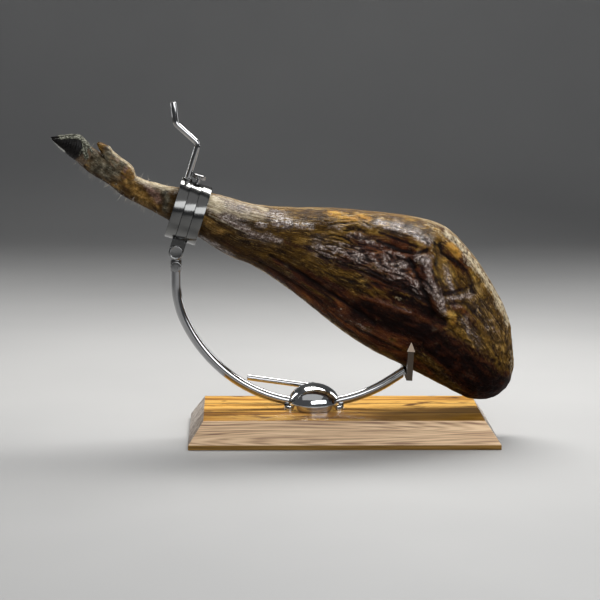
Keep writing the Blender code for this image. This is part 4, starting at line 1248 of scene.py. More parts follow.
def ham_material():
    """Dried lean with films of fat and bloom, dark patches that are partly painted shade, and painted
    sheen, highlights and crease shade, all following the named fields.
    """
    g = Graph("cured_meat_look")
    flow = g.vector("flow")
    gold_mask, cream_mask, bloom_and_sheen_mask = g.attribute("tone_a")
    dark_and_shade_mask, orange_mask, crease_shade_mask = g.attribute("tone_b")
    rind_mask, painted_relief_shading, shade = g.attribute("tone_c")
    ash_mask, rose_mask, gilt_mask = g.attribute("tone_d")
    streak = g.noise(g.scaled(flow, (1.0, 3.4, 3.4)), 22, 5, 0.62, 0.5)
    fibre = g.noise(g.scaled(flow, (1.0, 4.5, 4.5)), 70, 4, 0.65, 0.3)
    mottle = g.noise(g.object, 42, 5, 0.62, 0.4)
    grain = g.noise(g.object, 210, 4, 0.68)
    speck = g.noise(g.object, 520, 2, 0.6)
    patchy = g.mix(0.5, mottle, streak)
    lean = g.ramp(streak, (0.30, (0.008, 0.0018, 0.0011)), (0.45, (0.036, 0.0080, 0.0028)),
                  (0.58, (0.100, 0.027, 0.0070)), (0.72, (0.23, 0.085, 0.019)))
    gold = g.ramp(g.mix(0.78, mottle, streak), (0.33, (0.010, 0.0040, 0.0007)),
                  (0.45, (0.050, 0.0220, 0.0025)), (0.57, (0.160, 0.082, 0.0100)),
                  (0.72, (0.44, 0.270, 0.0550)))
    gold = g.mix(1.0, gold, g.ramp(shade, (0.35, (0.30, 0.27, 0.22)), (0.95, 1.0)), "MULTIPLY")
    orange = g.ramp(patchy, (0.3, (0.20, 0.085, 0.012)), (0.48, (0.44, 0.22, 0.032)),
                    (0.64, (0.70, 0.44, 0.105)))
    cream = g.ramp(g.mix(0.4, fibre, mottle), (0.32, (0.20, 0.130, 0.060)),
                   (0.48, (0.45, 0.360, 0.225)), (0.64, (0.72, 0.650, 0.490)))
    # colour of the bloom film and of the painted sheen on the wrinkles
    bloom_and_sheen = g.ramp(grain, (0.34, (0.028, 0.015, 0.011)), (0.49, (0.130, 0.088, 0.074)),
                   (0.64, (0.56, 0.475, 0.430)))
    # dark lean colour, partly painted shade
    dark_and_shade = g.ramp(patchy, (0.34, (0.0012, 0.0004, 0.0003)), (0.5, (0.0060, 0.0014, 0.0009)),
                  (0.68, (0.042, 0.0105, 0.0035)))
    rind = g.ramp(g.mix(0.45, streak, fibre), (0.36, (0.070, 0.036, 0.010)),
                  (0.5, (0.155, 0.086, 0.024)), (0.64, (0.27, 0.165, 0.056)))
    cloud = g.noise(g.scaled(flow, (1.0, 1.6, 1.6)), 8, 4, 0.6, 0.6)
    rind = g.mix(g.ramp(cloud, (0.50, 0.0), (0.68, 0.7)), rind, (0.36, 0.255, 0.110))
    rind = g.mix(g.ramp(cloud, (0.30, 0.65), (0.44, 0.0)), rind, (0.075, 0.052, 0.030))
    rind = g.mix(g.ramp(grain, (0.34, 0.45), (0.44, 0.0)), rind, (0.040, 0.020, 0.008))
    color = g.mix(g.ramp(rind_mask, (0.3, 0.0), (0.7, 1.0)), lean, rind)
    fuzz = g.mix(0.5, grain, fibre)
    ash = g.ramp(fuzz, (0.34, (0.036, 0.029, 0.018)), (0.50, (0.098, 0.086, 0.058)),
                 (0.66, (0.27, 0.245, 0.185)))
    rose = g.ramp(fuzz, (0.34, (0.060, 0.026, 0.018)), (0.50, (0.140, 0.080, 0.060)),
                  (0.66, (0.28, 0.200, 0.160)))
    gilt = g.ramp(fuzz, (0.34, (0.065, 0.028, 0.006)), (0.50, (0.230, 0.122, 0.028)),
                  (0.66, (0.50, 0.325, 0.115)))
    layers = (
        (gold_mask, streak, 0.22, 0.62, 1.3, gold),
        (orange_mask, fibre, 0.30, 1.0, 1.2, orange),
        (dark_and_shade_mask, patchy, 0.16, 0.72, 1.4, dark_and_shade),
        (bloom_and_sheen_mask, fibre, 0.34, 0.90, 1.2, bloom_and_sheen),
        (gilt_mask, mottle, 0.25, 1.0, 1.3, gilt),
        (rose_mask, mottle, 0.25, 1.0, 1.3, rose),
        (ash_mask, mottle, 0.20, 1.1, 1.8, ash),
    )
    for mask, wobble, low, high, spread, look in layers:
        color = g.mix(masked(g, mask, wobble, low, high, spread), color, look)
    worn = g.ramp(g.noise(g.object, 95, 3, 0.6), (0.36, 0.40), (0.50, 1.0), (0.64, 1.9))
    foot_mask = g.plus(g.plus(ash_mask, rose_mask), gilt_mask, clamp=True)
    color = g.mix(foot_mask, color, g.mix(1.0, color, worn, "MULTIPLY"))
    color = g.mix(masked(g, cream_mask, g.mix(0.35, fibre, grain), 0.30, 0.85, 1.5), color, cream)
    # painted highlight: bright golden streaks on the gold film, strongest high up where the light falls
    painted_gold_highlight = g.times(gold_mask, g.ramp(g.mix(0.25, fibre, mottle), (0.54, 0.0), (0.66, 0.85)))
    painted_gold_highlight = g.times(painted_gold_highlight, g.ramp(shade, (0.5, 0.35), (0.9, 1.0)))
    color = g.mix(painted_gold_highlight, color, (0.58, 0.350, 0.085))
    plain = g.math("SUBTRACT", 1.0, dark_and_shade_mask, clamp=True)
    color = g.mix(g.times(plain, g.ramp(speck, (0.60, 0.0), (0.76, 0.34))), color,
                  (0.38, 0.265, 0.145))
    color = g.mix(g.ramp(speck, (0.28, 0.55), (0.42, 0.0)), color, (0.012, 0.005, 0.003))
    # painted shade in creases, hollows and grooves
    color = g.mix(g.times(crease_shade_mask, 0.92), color, (0.008, 0.0030, 0.0022))
    # painted light and shade from the relief: raised skin lighter, sunken skin darker, less so under
    # cream
    relief_shading_factor = g.ramp(painted_relief_shading, (0.22, 0.50), (0.52, 1.0), (0.85, 1.25))
    relief_shaded = g.mix(1.0, color, relief_shading_factor, "MULTIPLY")
    color = g.mix(g.ramp(cream_mask, (0.2, 1.0), (0.9, 0.4)), color, relief_shaded)
    height = g.plus(g.times(fibre, 1.3),
                    g.plus(g.times(grain, 0.9), g.times(speck, 0.3)))
    bump = g.bump(height, 1.0, 0.0018)
    g.set(Base_Color=color, Roughness=g.ramp(fibre, (0.3, 0.45), (0.7, 0.62)), Normal=bump)
    wet = g.ramp(bloom_and_sheen_mask, (0.0, 0.11), (0.7, 0.85))
    wet = g.times(wet, g.ramp(dark_and_shade_mask, (0.2, 1.0), (0.9, 0.45)))
    wet = g.times(wet, g.ramp(cream_mask, (0.2, 1.0), (0.9, 0.35)))
    g.set(Specular_IOR_Level=0.03, Coat_Weight=wet, Coat_IOR=1.5,
          Coat_Roughness=g.ramp(grain, (0.3, 0.08), (0.7, 0.22)), Coat_Normal=bump)
    return g.material


def horn_material():
    """Black horn with a mossy upper edge, a pale lower rim and skin at its root."""
    g = Graph("hoof_horn")
    grain = g.noise(g.scaled(g.turned(HAM_DROP_DEG), (1.0, 4.0, 4.0)), 90, 4, 0.6)
    moss_mask, skin_mask, rim_mask = g.attribute("tone_a")
    horn = g.ramp(grain, (0.3, (0.0020, 0.0018, 0.0018)), (0.75, (0.012, 0.010, 0.009)))
    moss_grain = g.noise(g.object, 330, 4, 0.68)
    moss = g.ramp(moss_grain, (0.32, (0.012, 0.012, 0.008)), (0.50, (0.062, 0.063, 0.044)),
                  (0.68, (0.36, 0.36, 0.29)))
    skin = g.ramp(moss_grain, (0.3, (0.030, 0.019, 0.010)), (0.7, (0.15, 0.105, 0.066)))
    color = g.mix(skin_mask, horn, skin)
    color = g.mix(masked(g, moss_mask, moss_grain, 0.35, 0.6), color, moss)
    color = g.mix(masked(g, rim_mask, grain, 0.45, 0.62), color, (0.50, 0.50, 0.46))
    rough = g.mix(moss_mask, g.ramp(grain, (0.3, 0.22), (0.7, 0.38)), (0.75, 0.75, 0.75))
    g.set(Base_Color=color, Roughness=rough, Specular_IOR_Level=0.14)
    g.set(Normal=g.bump(g.plus(grain, g.times(moss_grain, moss_mask)), 0.8, 0.0014))
    return g.material


def hair_material():
    """Pale, slightly uneven hair."""
    g = Graph("bristle")
    tone = g.noise(g.object, 300, 2)
    g.set(Base_Color=g.ramp(tone, (0.3, (0.50, 0.46, 0.38)), (0.7, (0.78, 0.75, 0.68))), Roughness=0.5)
    return g.material


def steel_material(name, low_rough, high_rough, tone):
    """Smooth steel, cloudy in tone and polish."""
    g = Graph(name)
    cloud = g.noise(g.object, 14, 3, 0.5)
    rub = g.noise(g.object, 240, 3, 0.6)
    color = g.ramp(cloud, (0.3, tuple(0.93 * c for c in tone)), (0.7, tone))
    rough = g.ramp(cloud, (0.3, low_rough), (0.7, high_rough))
    g.set(Base_Color=color, Metallic=1.0, Roughness=rough)
    g.set(Normal=g.bump(rub, 0.05, 0.0004))
    return g.material


def turned_steel_material(name, tilt_deg, tone):
    """Steel with fine turning lines round an axis that drops by tilt_deg towards +X."""
    g = Graph(name)
    lines = g.noise(g.scaled(g.turned(tilt_deg), (1.0, 0.01, 0.01)), 1900, 2, 0.6)
    cloud = g.noise(g.object, 20, 3, 0.5)
    color = g.ramp(cloud, (0.3, tuple(0.9 * c for c in tone)), (0.7, tone))
    g.set(Base_Color=color, Metallic=1.0, Roughness=g.ramp(lines, (0.3, 0.10), (0.7, 0.20)))
    g.set(Normal=g.bump(lines, 0.12, 0.0003))
    return g.material


def wood_material():
    """Varnished olive-wood staves: the grain is the contour lines of a field drawn out along X."""
    g = Graph("board_wood_look")
    x, y, z = g.split(g.object)
    end_on, _, up = g.split(g.node("NewGeometry").outputs["Normal"])
    field = g.noise(g.scaled(g.object, (0.22, 5.0, 7.0)), 3.0, 3, 0.42, 0.1)
    broad = g.math("SINE", g.times(field, 40))
    lines = g.math("SINE", g.times(field, 260))
    fibre = g.noise(g.scaled(g.object, (1.0, 34.0, 34.0)), 7, 4, 0.6)
    knots = g.noise(g.scaled(g.object, (1.0, 2.6, 4.0)), 13, 4, 0.62, 0.6)
    mottle = g.noise(g.object, 60, 4, 0.65)
    top_tone = g.plus(g.times(broad, 0.16), g.times(fibre, 1.0))
    warm = g.ramp(top_tone, (0.24, (0.12, 0.042, 0.007)), (0.38, (0.34, 0.140, 0.018)),
                  (0.52, (0.55, 0.262, 0.040)), (0.70, (0.76, 0.450, 0.110)))
    warm = g.mix(g.ramp(knots, (0.34, 0.95), (0.44, 0.0)), warm, (0.10, 0.034, 0.006))
    beside_joint = g.ramp(y, (STAVE_JOINT, 1.0), (STAVE_JOINT + 0.034, 0.0))
    toward_butt = g.ramp(g.plus(g.times(x, 2.0), 0.45), (0.40, 0.25), (0.70, 1.0))
    # darker blotches beside the stave joint, stronger towards the butt
    joint_blotches = g.times(g.times(beside_joint, toward_butt),
                   g.ramp(knots, (0.44, 1.0), (0.56, 0.0)))
    warm = g.mix(joint_blotches, warm, (0.085, 0.026, 0.005))
    near_stave = g.ramp(y, (STAVE_JOINT - 0.001, 1.0), (STAVE_JOINT, 0.0))
    shaded_stave = g.times(near_stave, toward_butt)
    warm = g.mix(g.times(shaded_stave, 0.8), warm, (0.30, 0.15, 0.022))
    side_tone = g.plus(g.times(lines, 0.105),
                       g.plus(g.times(broad, 0.04), g.times(fibre, 1.0)))
    pale = g.ramp(side_tone, (0.24, (0.27, 0.160, 0.110)), (0.36, (0.46, 0.300, 0.185)),
                  (0.50, (0.71, 0.490, 0.305)), (0.68, (0.86, 0.625, 0.400)))
    grain_end = g.ramp(g.mix(0.5, mottle, fibre), (0.36, (0.10, 0.072, 0.062)),
                       (0.50, (0.30, 0.235, 0.18)), (0.62, (0.55, 0.47, 0.39)))
    color = g.mix(g.ramp(up, (0.75, 0.0), (0.95, 1.0)), pale, warm)
    color = g.mix(g.ramp(g.math("ABSOLUTE", end_on), (0.35, 0.0), (0.6, 1.0)), color, grain_end)
    under = g.times(g.ramp(up, (0.2, 1.0), (0.5, 0.0)),
                   g.ramp(z, (0.0078, 1.0), (0.0086, 0.0)))
    color = g.mix(under, color, g.ramp(fibre, (0.3, (0.12, 0.062, 0.012)), (0.7, (0.34, 0.185, 0.046))))
    joint = g.math("ABSOLUTE", g.math("SUBTRACT", y, STAVE_JOINT))
    second = g.math("ABSOLUTE", g.math("SUBTRACT", y, -STAVE_JOINT))
    seam = g.ramp(g.math("MINIMUM", joint, second), (0.0004, 0.85), (0.0016, 0.0))
    color = g.mix(seam, color, (0.055, 0.024, 0.008))
    g.set(Base_Color=color, Roughness=g.ramp(fibre, (0.3, 0.42), (0.7, 0.32)))
    g.set(Specular_IOR_Level=0.12, Coat_Weight=0.16, Coat_Roughness=0.05, Coat_IOR=1.35)
    g.set(Normal=g.bump(g.plus(fibre, g.times(lines, 0.1)), 0.12, 0.0006))
    return g.material


def floor_material():
    """Matt pale grey, nearly even."""
    g = Graph("pale_floor")
    tone = g.noise(g.object, 1.3, 3)
    color = g.ramp(tone, (0.3, (0.35, 0.35, 0.35)), (0.7, (0.385, 0.385, 0.382)))
    g.set(Base_Color=color, Roughness=0.7)
    return g.material


# ---------------------------------------------------------------- the ham

def ham_grid():
    """Places, heights and sides of the ham's fine rings, with its outline and its facing."""
    sample = np.linspace(HAM_SHAPE["coronet"][0], HAM_SHAPE["tip"][0], 2000)
    density = 0.8 + 0.45 * smoothstep(400, 460, sample)
    total = np.concatenate([[0], np.cumsum((density[1:] + density[:-1]) / 2)])
    place = np.interp(np.linspace(0, total[-1], HAM_RINGS), total, sample)
    near = np.arange(HAM_NEAR_POINTS) / HAM_NEAR_POINTS
    near = np.pi / 2 + np.pi * (near + 0.25 * np.sin(2 * np.pi * near) / (2 * np.pi))
    far = np.linspace(-np.pi / 2, np.pi / 2, HAM_FAR_POINTS, endpoint=False)
    angle = np.concatenate([far, near])
    top, bottom, front, back = (size[:, None] for size in measures(list(HAM_SHAPE.values()), place))
    across = np.cos(angle)[None, :]
    up = np.sin(angle)[None, :]
    height = (top + bottom) / 2 + (top - bottom) / 2 * up
    widen = 1 + HAM_LOW_TAPER * np.clip((place[:, None] - 300) / 150, 0, 1) * up
    carved = -front * widen * np.abs(across) ** HAM_FRONT_SQUARE
    place = np.broadcast_to(place[:, None], height.shape)
    carved = carved - relief(place, height, RELIEF) * np.abs(across) ** 0.5
    side = np.where(across < 0, carved, back * widen * across)
    return place, height, side, top, bottom, np.broadcast_to(across, height.shape)


def write_tones(mesh, name, *channels):
    """Up to three channels of a colour attribute, 0 to 1 on every point."""
    packed = np.ones((len(mesh.vertices), 4), np.float32)
    for k, channel in enumerate(channels):
        packed[:, k] = np.clip(channel, 0, 1).ravel()
    attribute = mesh.attributes.new(name, "FLOAT_COLOR", "POINT")
    attribute.data.foreach_set("color", packed.ravel())


def write_flow(mesh, place, around, side):
    """Coordinates in metres that run along and round the ham, for its streaks."""
    flow = np.stack([place * MM, around * MM, side * MM], -1).astype(np.float32)
    attribute = mesh.attributes.new("flow", "FLOAT_VECTOR", "POINT")
    attribute.data.foreach_set("vector", flow.ravel())


def skin_mesh(name, place, height, side, rise):
    """Smooth closed mesh of rings about the ham's axis, pushed out by rise in millimetres."""
    grid = ham_place(place, height, side)
    mesh = grid_mesh(name, grid + grid_normals(grid) * (rise * MM)[:, :, None])
    mesh.shade_smooth()
    return mesh


def ham_wrinkles(place, height, side, share, facing):
    """Rise in millimetres, nearness to a wrinkle's crest, and a coordinate across the fibres."""
    fan = share * 205
    warp = field_noise(place / 60, fan / 26, side / 60, 5)
    small_warp = field_noise(place / 17, fan / 9, side / 25, 6)
    bend = field_noise(place / 40, fan / 40, 4, 9)
    flow = fan + 5.0 * warp + 1.5 * small_warp
    run = place + 9 * bend
    folds = billow(run / 36, flow / 11.5, 3, 7)
    pleats = billow(run / 13, flow / 6.0, 6, 12)
    swell = field_noise(place / 90, flow / 34, 9, 8, 2)
    lumps = field_noise(place / 15, height / 15, side / 15, 21, 3)
    grains = billow(place / 5.0, height / 5.0, side / 5.0, 23)
    fibres = field_noise(place / 24, flow / 3.4, 2, 29)

    thigh = smoothstep(405, 470, place) * (1 - smoothstep(632, 668, place + 0.55 * (height - 80)))
    bunched = bell(height - 80, 34) * smoothstep(440, 500, place)
    rump = smoothstep(640, 690, place + 0.35 * (height - 80))
    shank = smoothstep(250, 290, place) * (1 - smoothstep(395, 440, place))
    rise = thigh * (0.40 + 0.95 * bunched) * (3.2 * (folds - 0.42) + 1.5 * (pleats - 0.4))
    rise += facing * smoothstep(390, 480, place) * 1.2 * swell
    rise += rump * (1.6 * lumps + 1.1 * (grains - 0.4))
    rise += shank * (0.35 * lumps + 0.6 * (folds - 0.45) + 0.25 * fibres)
    rise += 0.22 * fibres * (thigh + 0.4 * rump)
    crest = thigh * (0.95 * folds + 0.55 * pleats - 0.28) + rump * (0.45 * grains + 0.3 * lumps + 0.24)
    crest += shank * (0.62 + 0.25 * folds + 0.35 * fibres)
    crest += 0.45 * (1 - np.clip(thigh + rump + shank, 0, 1))
    return rise, crest, flow


def ham_tones(place, height, top, bottom, share, facing, crest):
    """The named colour fields, with edges that wander."""
    ragged = field_noise(place / 16, height / 12, 3, 91, 2)
    facing = np.clip(facing + 2.2 * facing * (1 - facing) * ragged, 0, 1)
    drift = 5.5 * field_noise(place / 30, height / 22, 1, 61, 2)
    waver = 4.0 * field_noise(place / 26, height / 16, 7, 62, 2)
    at = place + drift
    up = height + waver
    tones = {}

    def raise_to(name, value):
        tones[name] = np.maximum(tones[name], value)

    for name, strokes in (("gold", GOLD), ("orange", ORANGE), ("cream", CREAM), ("bloom_and_sheen", BLOOM_AND_SHEEN),
                          ("dark_and_shade", DARK_AND_SHADE), ("ash", ASH), ("rose", ROSE), ("gilt", GILT)):
        tones[name] = fields(at, up, strokes) * facing
    patches = field_noise(place / 42, height / 20, 5, 71, 3)
    meat = smoothstep(420, 520, place) * facing
    raise_to("gold", 0.55 * meat * smoothstep(0.25, 0.8, patches))
    tones["gold"] *= 1 - 0.5 * smoothstep(0.35, 0.9, -patches)
    tones["gold"] *= 1 - 0.75 * np.clip(tones["dark_and_shade"], 0, 1) * meat
    # bloom painted paler on wrinkle crests and faint in the valleys: painted highlight
    tones["bloom_and_sheen"] *= np.clip(0.10 + 1.35 * crest, 0, 1.2)
    # painted highlight on the raised forms
    raise_to("bloom_and_sheen", fields(at * 0.5 + place * 0.5, up * 0.5 + height * 0.5, FORM_HIGHLIGHT) * facing)
    fleck = field_noise(place / 3.5, height / 3.5, 9, 92, 2)
    tones["cream"] *= np.clip(1 + smoothstep(570, 610, place) * (0.6 * fleck - 0.08), 0, 1.5)
    # painted shade in the named grooves, which also takes the gold, cream and bloom out of them
    groove = fields(at * 0.3 + place * 0.7, up * 0.3 + height * 0.7, GROOVE_SHADE) * facing
    groove *= 0.85 + 0.6 * fleck
    for name in ("gold", "cream", "bloom_and_sheen"):
        tones[name] = tones[name] * (1 - np.clip(groove, 0, 1))
    tones["groove"] = groove
    tones["shade"] = 0.42 + 0.58 * smoothstep(-6, 62, height + 0.06 * (place - 600) + waver)
    # cream painted slightly paler on wrinkle crests, and a painted highlight along the top edge
    edge_light = bell(top - height, 4.5) * smoothstep(250, 300, place)
    tones["cream"] = np.maximum(tones["cream"] * (0.9 + 0.25 * crest),
                                edge_light * (0.5 - 0.35 * smoothstep(330, 400, place)
                                              * (1 - smoothstep(560, 610, place))))
    # painted rim light: a pale gold and cream line along the underside, partly the rind's edge seen
    # from below
    under = bell(height - bottom, 4.5) * smoothstep(270, 330, place)
    under *= (1 - smoothstep(640, 760, place)) * (0.75 + 0.5 * ragged)
    raise_to("gold", 0.9 * under)
    raise_to("cream", 0.85 * under)
    tones["dark_and_shade"] *= 1 - under.clip(0, 1)
    shank = (1 - smoothstep(395, 425, place + 0.3 * drift)) * facing
    raise_to("gold", 0.6 * shank)
    foot = 1 - smoothstep(205, 235, place)
    blotch = field_noise(place / 13, height / 9, 3, 81, 2)
    tones["gold"] = np.maximum(tones["gold"] * (1 - 0.35 * foot), foot * (0.45 + 0.25 * blotch))
    raise_to("dark_and_shade", 0.6 * foot * smoothstep(0.25, 0.8, -blotch))
    ashen = foot * (1 - smoothstep(118, 150, place)) * smoothstep(-0.35, 0.5, blotch)
    raise_to("ash", 0.7 * ashen)
    # painted highlight: paler cream on the top of the foot
    foot_top_highlight = foot * smoothstep(0.66, 1.0, share) * smoothstep(130, 160, place)
    raise_to("cream", 0.75 * foot_top_highlight)
    tones["rind"] = np.maximum(1 - facing, 0.55 * shank)
    return tones


def make_ham(material):
    """The whole cured leg in one skin, down to the coronet."""
    place, height, side, top, bottom, across = ham_grid()
    share = (height - bottom) / (top - bottom)
    facing = smoothstep(0.02, 0.35, -across)
    rise, crest, flow = ham_wrinkles(place, height, side, share, facing)
    rise = rise * facing + relief(place, height, FINE_RELIEF) * facing
    wide = field_noise(place / 60, height / 60, side / 60, 25, 2)
    lumps = field_noise(place / 18, height / 18, side / 18, 27, 2)
    seams = billow(place / 70, (height - bottom) / 16, 5, 35)
    rise += (1 - facing) * (1.1 * wide + 0.5 * lumps + 0.9 * (seams - 0.45))
    foot = 1 - smoothstep(150, 230, place)
    knots = field_noise(place / 7, height / 6, side / 7, 28, 2)
    rise += foot * (0.8 * lumps + 0.4 * knots)
    outline = smoothstep(0.0, 0.32, np.abs(across))
    edge_wave = 0.6 * field_noise(place / 26, 2, 2, 41, 2)
    rise = rise * (0.35 + 0.65 * outline) + (1 - outline) * edge_wave
    rise *= smoothstep(40, 60, place) * (1 - 0.6 * smoothstep(815, 845, place))
    mesh = skin_mesh("ham_skin", place, height, side, rise)

    level = rise.copy()
    for _ in range(8):
        level = (np.roll(level, 1, 0) + np.roll(level, -1, 0) + np.roll(level, 1, 1)
                 + np.roll(level, -1, 1)) / 4
    # painted shade: darker where the skin lies below its smoothed surroundings, in creases and hollows
    crease = smoothstep(0.10, 1.0, level - rise) * facing * (1 - 0.6 * smoothstep(650, 720, place))
    tones = ham_tones(place, height, top, bottom, share, facing, crest)
    tones["crease"] = np.maximum(crease, tones["groove"])
    # painted light and shade from the relief: how far the skin stands above its smoothed surroundings
    tones["painted_relief_shading"] = 0.45 + 0.5 * (rise - level)
    for name, channels in TONES.items():
        write_tones(mesh, name, *(tones[channel] for channel in channels))
    write_flow(mesh, place, flow, side)
    add_piece("ham_skin", mesh, material, "head", ["ham"])


def small_grid(shape, side, shift, rings, count):
    """Places, heights and sides of a claw's fine rings, and the share of its height."""
    place = np.linspace(shape[0][0], shape[-1][0], rings)
    top, bottom, depth = (size[:, None] for size in measures(shape, place))
    angle = np.linspace(0, 2 * np.pi, count, endpoint=False)[None, :]
    height = (top + bottom) / 2 + (top - bottom) / 2 * np.sin(angle)
    share = (height - bottom) / (top - bottom)
    place = np.broadcast_to(place[:, None] + shift, height.shape)
    return place, height, side + depth * np.cos(angle), share


def make_claws(material):
    """The two claws of the hoof, with moss above, a pale rim below and skin at the root."""
    for number, (side, shift) in enumerate(CLAWS, 1):
        place, height, beside, share = small_grid(CLAW_SHAPE, side, shift, 76, 64)
        local = place - shift
        ragged = field_noise(place / 4, height / 4, beside / 4, 53, 3)
        moss = 1 - smoothstep(2.6, 4.6, path_distance(local, height + 1.2 * ragged, MOSS_PATH))
        top_edge = smoothstep(0.86, 0.95, share + 0.05 * ragged)
        moss = np.maximum(moss, top_edge * smoothstep(5, 12, local))
        rim = bell(share - 0.05, 0.10) * (1 - smoothstep(24, 34, local))
        growth = 0.22 * np.sin(local * 1.5 + 0.4 * height)
        coronet = bell(local - 52 - 0.30 * (height - 10), 4.5) * smoothstep(-8, 2, height)
        folds = billow(local / 4.2, height / 3.2, beside / 5, 57)
        rise = moss * (0.5 + 0.9 * ragged) + (1 - moss) * growth + coronet * (1.8 * folds - 0.2)
        moss = np.maximum(moss, coronet * smoothstep(0.35, 0.75, folds))
        mesh = skin_mesh("claw_%d" % number, place, height, beside, rise * smoothstep(2, 8, local))
        pastern = smoothstep(50, 56, local - 0.4 * height)
        write_tones(mesh, "tone_a", moss, pastern, rim)
        add_piece("claw_%d" % number, mesh, material, "head")


def make_dewclaws(material):
    """The two small claws behind the pastern, in ashen skin."""
    shape = np.array(DEWCLAW_SHAPE, float)
    for number, middle in enumerate((-DEWCLAW_SIDE, DEWCLAW_SIDE), 1):
        place, height, beside, _ = small_grid(DEWCLAW_SHAPE, middle, 0, 80, 48)
        rise = 0.5 * field_noise(place / 8, height / 8, beside / 8, 61 + number, 3)
        mesh = skin_mesh("dewclaw_%d" % number, place, height, beside, rise)
        top = np.interp(place, shape[:, 0], shape[:, 1])
        bottom = np.interp(place, shape[:, 0], shape[:, 2])
        share = (height - bottom) / (top - bottom)
        # painted highlight: cream along the top edge; painted shade: darker on the lower side
        edge = smoothstep(0.78, 1.0, share) * smoothstep(84, 92, place)
        tip = 1 - smoothstep(80, 90, place)
        low = 0.6 * (1 - smoothstep(0.1, 0.45, share))
        blotch = field_noise(place / 9, height / 6, beside / 9, 83)
        ash = (0.75 + 0.5 * blotch) * (1 - tip) * (1 - smoothstep(122, 138, place))
        rose = (1 - tip) * smoothstep(0.1, 0.7, -blotch)
        dark_and_shade = np.maximum(low * (1 - tip), 0.42 * tip * (1 - share))
        write_tones(mesh, "tone_a", 0.22 + 0.4 * tip - 0.3 * blotch, 0.6 * edge, 0)
        write_tones(mesh, "tone_b", dark_and_shade, 0.3 * tip, 0)
        write_tones(mesh, "tone_d", ash, rose, 0.5 * smoothstep(116, 138, place))
        write_tones(mesh, "tone_c", 0.5, 0.5, 0.85)
        write_flow(mesh, place, height, beside)
        add_piece("dewclaw_%d" % number, mesh, material, "head")


def foot_surface(place, angle):
    """Point on the foot's skin and its outward direction, at an angle round the axis."""
    sizes = measures(list(HAM_SHAPE.values()), np.array([place]))
    top, bottom, front, back = (float(size[0]) for size in sizes)
    across = math.cos(angle)
    height = (top + bottom) / 2 + (top - bottom) / 2 * math.sin(angle)
    side = (front if across < 0 else back) * across
    outward = np.array([0.0, math.sin(angle), across])
    return np.array([place, height, side]), outward


def make_bristles(material):
    """Short stray hairs on the foot's skin, as thin tapering rods."""
    draw = np.random.RandomState(29)
    sides = BRISTLE_SIDES
    verts = []
    faces = []
    for _ in range(BRISTLES):
        low_side = draw.uniform() < BRISTLE_LOW_SHARE
        centre = -math.pi / 2 if low_side else math.pi / 2
        angle = centre + draw.normal(0, 0.42)
        place = draw.choice(BRISTLE_PLACES) + draw.normal(0, 9)
        base, outward = foot_surface(float(np.clip(place, *BRISTLE_REACH)), angle)
        length = draw.uniform(*BRISTLE_LENGTHS)
        lean = np.array([draw.normal(0.5, 0.9), 0, draw.normal(0, 0.4)])
        curl = np.array([draw.normal(0, 0.8), draw.normal(0, 0.5), draw.normal(0, 0.5)])
        first = len(verts)
        for k in range(BRISTLE_STEPS + 1):
            u = k / BRISTLE_STEPS
            bend = lean * length * 0.6 * u + curl * length * u * u * 0.5
            point = base + outward * (length * u - BRISTLE_ROOT) + bend
            radius = BRISTLE_RADIUS * (1 - BRISTLE_TAPER * u)
            for n in range(sides):
                turn = 2 * math.pi * n / sides
                offset = np.array([math.cos(turn), 0, math.sin(turn)]) * radius
                verts.append(tuple(ham_place(*(point + offset))))
        for k in range(BRISTLE_STEPS):
            for n in range(sides):
                a = first + sides * k + n
                b = first + sides * k + (n + 1) % sides
                faces.append((a, b, b + sides, a + sides))
        faces.append((first, first + 2, first + 1))
        last = first + sides * BRISTLE_STEPS
        faces.append((last, last + 1, last + 2))
    mesh = mesh_from("bristles", verts, faces)
    mesh.shade_smooth()
    add_piece("bristles", mesh, material, "head")


# ---------------------------------------------------------------- stage, lights, camera

def make_stage():
    """The floor, which is stage and no part of the object."""
    profile_points = [(FLOOR_FRONT, 0.0), (FLOOR_CURVE_START, 0.0)]
    for k in range(1, FLOOR_CURVE_STEPS + 1):
        turn = math.radians(90 / FLOOR_CURVE_STEPS * k)
        profile_points.append((FLOOR_CURVE_START + FLOOR_CURVE_RADIUS * math.sin(turn),
                               FLOOR_CURVE_RADIUS - FLOOR_CURVE_RADIUS * math.cos(turn)))
    profile_points.append((FLOOR_CURVE_START + FLOOR_CURVE_RADIUS, WALL_TOP))
    verts = []
    for y, z in profile_points:
        verts += [(-FLOOR_HALF_WIDTH, y, z), (FLOOR_HALF_WIDTH, y, z)]
    faces = [(2 * k, 2 * k + 1, 2 * k + 3, 2 * k + 2) for k in range(len(profile_points) - 1)]
    mesh = mesh_from("floor", verts, faces)
    mesh.materials.append(floor_material())
    mesh.shade_smooth()
    floor = placed("floor", mesh)


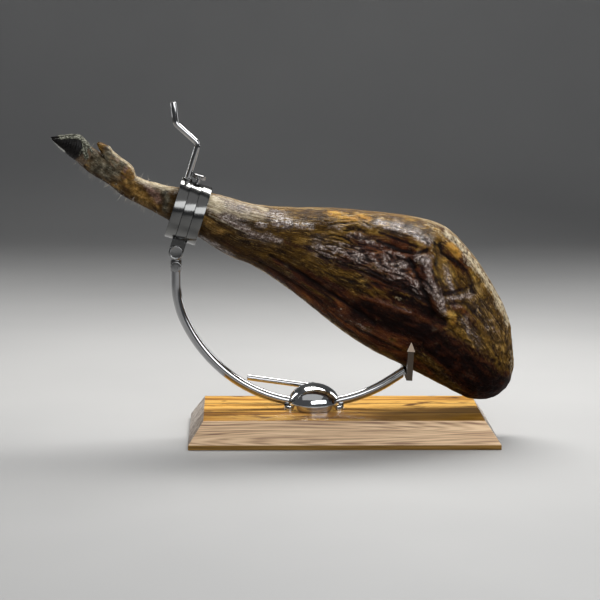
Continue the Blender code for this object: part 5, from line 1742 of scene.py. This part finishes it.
def add_light(name, place, target, size, energy, color):
    """Rectangular lamp that faces its target."""
    data = bpy.data.lights.new(name, "AREA")
    data.shape = "RECTANGLE"
    data.size, data.size_y = size
    data.energy = energy
    data.color = color
    turn = (Vector(target) - Vector(place)).to_track_quat("-Z", "Y")
    placed(name, data, Matrix.Translation(place) @ turn.to_matrix().to_4x4())


def make_lights():
    """A faint even sky and the lamps."""
    world = bpy.data.worlds.new("studio")
    bpy.context.scene.world = world
    world.use_nodes = True
    background = world.node_tree.nodes["Background"]
    background.inputs["Color"].default_value = SKY_TINT
    background.inputs["Strength"].default_value = SKY_STRENGTH
    for name, (place, target, size, energy, color) in LIGHTS.items():
        add_light(name, place, target, size, energy, color)


def make_camera():
    """The photograph's viewpoint."""
    data = bpy.data.cameras.new("camera")
    data.lens = CAMERA_LENS
    data.sensor_width = 36
    data.clip_end = 50
    right = Vector(CAMERA_RIGHT).normalized()
    up = Vector(CAMERA_UP).normalized()
    matrix = Matrix((right, up, right.cross(up))).transposed().to_4x4()
    matrix.translation = Vector(CAMERA_PLACE)
    bpy.context.scene.camera = placed("camera", data, matrix)


def main():
    bpy.context.scene.view_settings.view_transform = "Standard"
    make_camera()
    make_lights()
    make_stage()
    meat = ham_material()
    make_ham(meat)
    make_claws(horn_material())
    make_dewclaws(meat)
    make_bristles(hair_material())
    make_board(wood_material())
    make_dome(steel_material("dome_steel_look", 0.05, 0.13, (0.66, 0.67, 0.675)))
    # the tone is darker than bare steel: painted dark reflection of the surroundings
    polished = steel_material("polished_steel_look", 0.05, 0.12, (0.42, 0.42, 0.425))
    make_arc(polished)
    # dark brown tone: painted reflection of dark, brownish surroundings on the fork
    make_fork(steel_material("fork_steel_look", 0.14, 0.26, (0.095, 0.075, 0.058)))
    make_crank(polished)
    make_lever(polished)
    # very dark tone: painted dark reflection, so the bands look black away from their bright band
    machined = turned_steel_material("machined_steel_look", RING_TILT_DEG, (0.16, 0.16, 0.157))
    make_sleeve(machined)
    make_retaining_band(machined)
    make_housing(machined)
    plain = steel_material("turned_steel_look", 0.12, 0.22, (0.30, 0.30, 0.30))
    make_pin(plain)
    make_eye(plain)
    make_set_screw(plain)
    make_brake_screw(polished)


main()
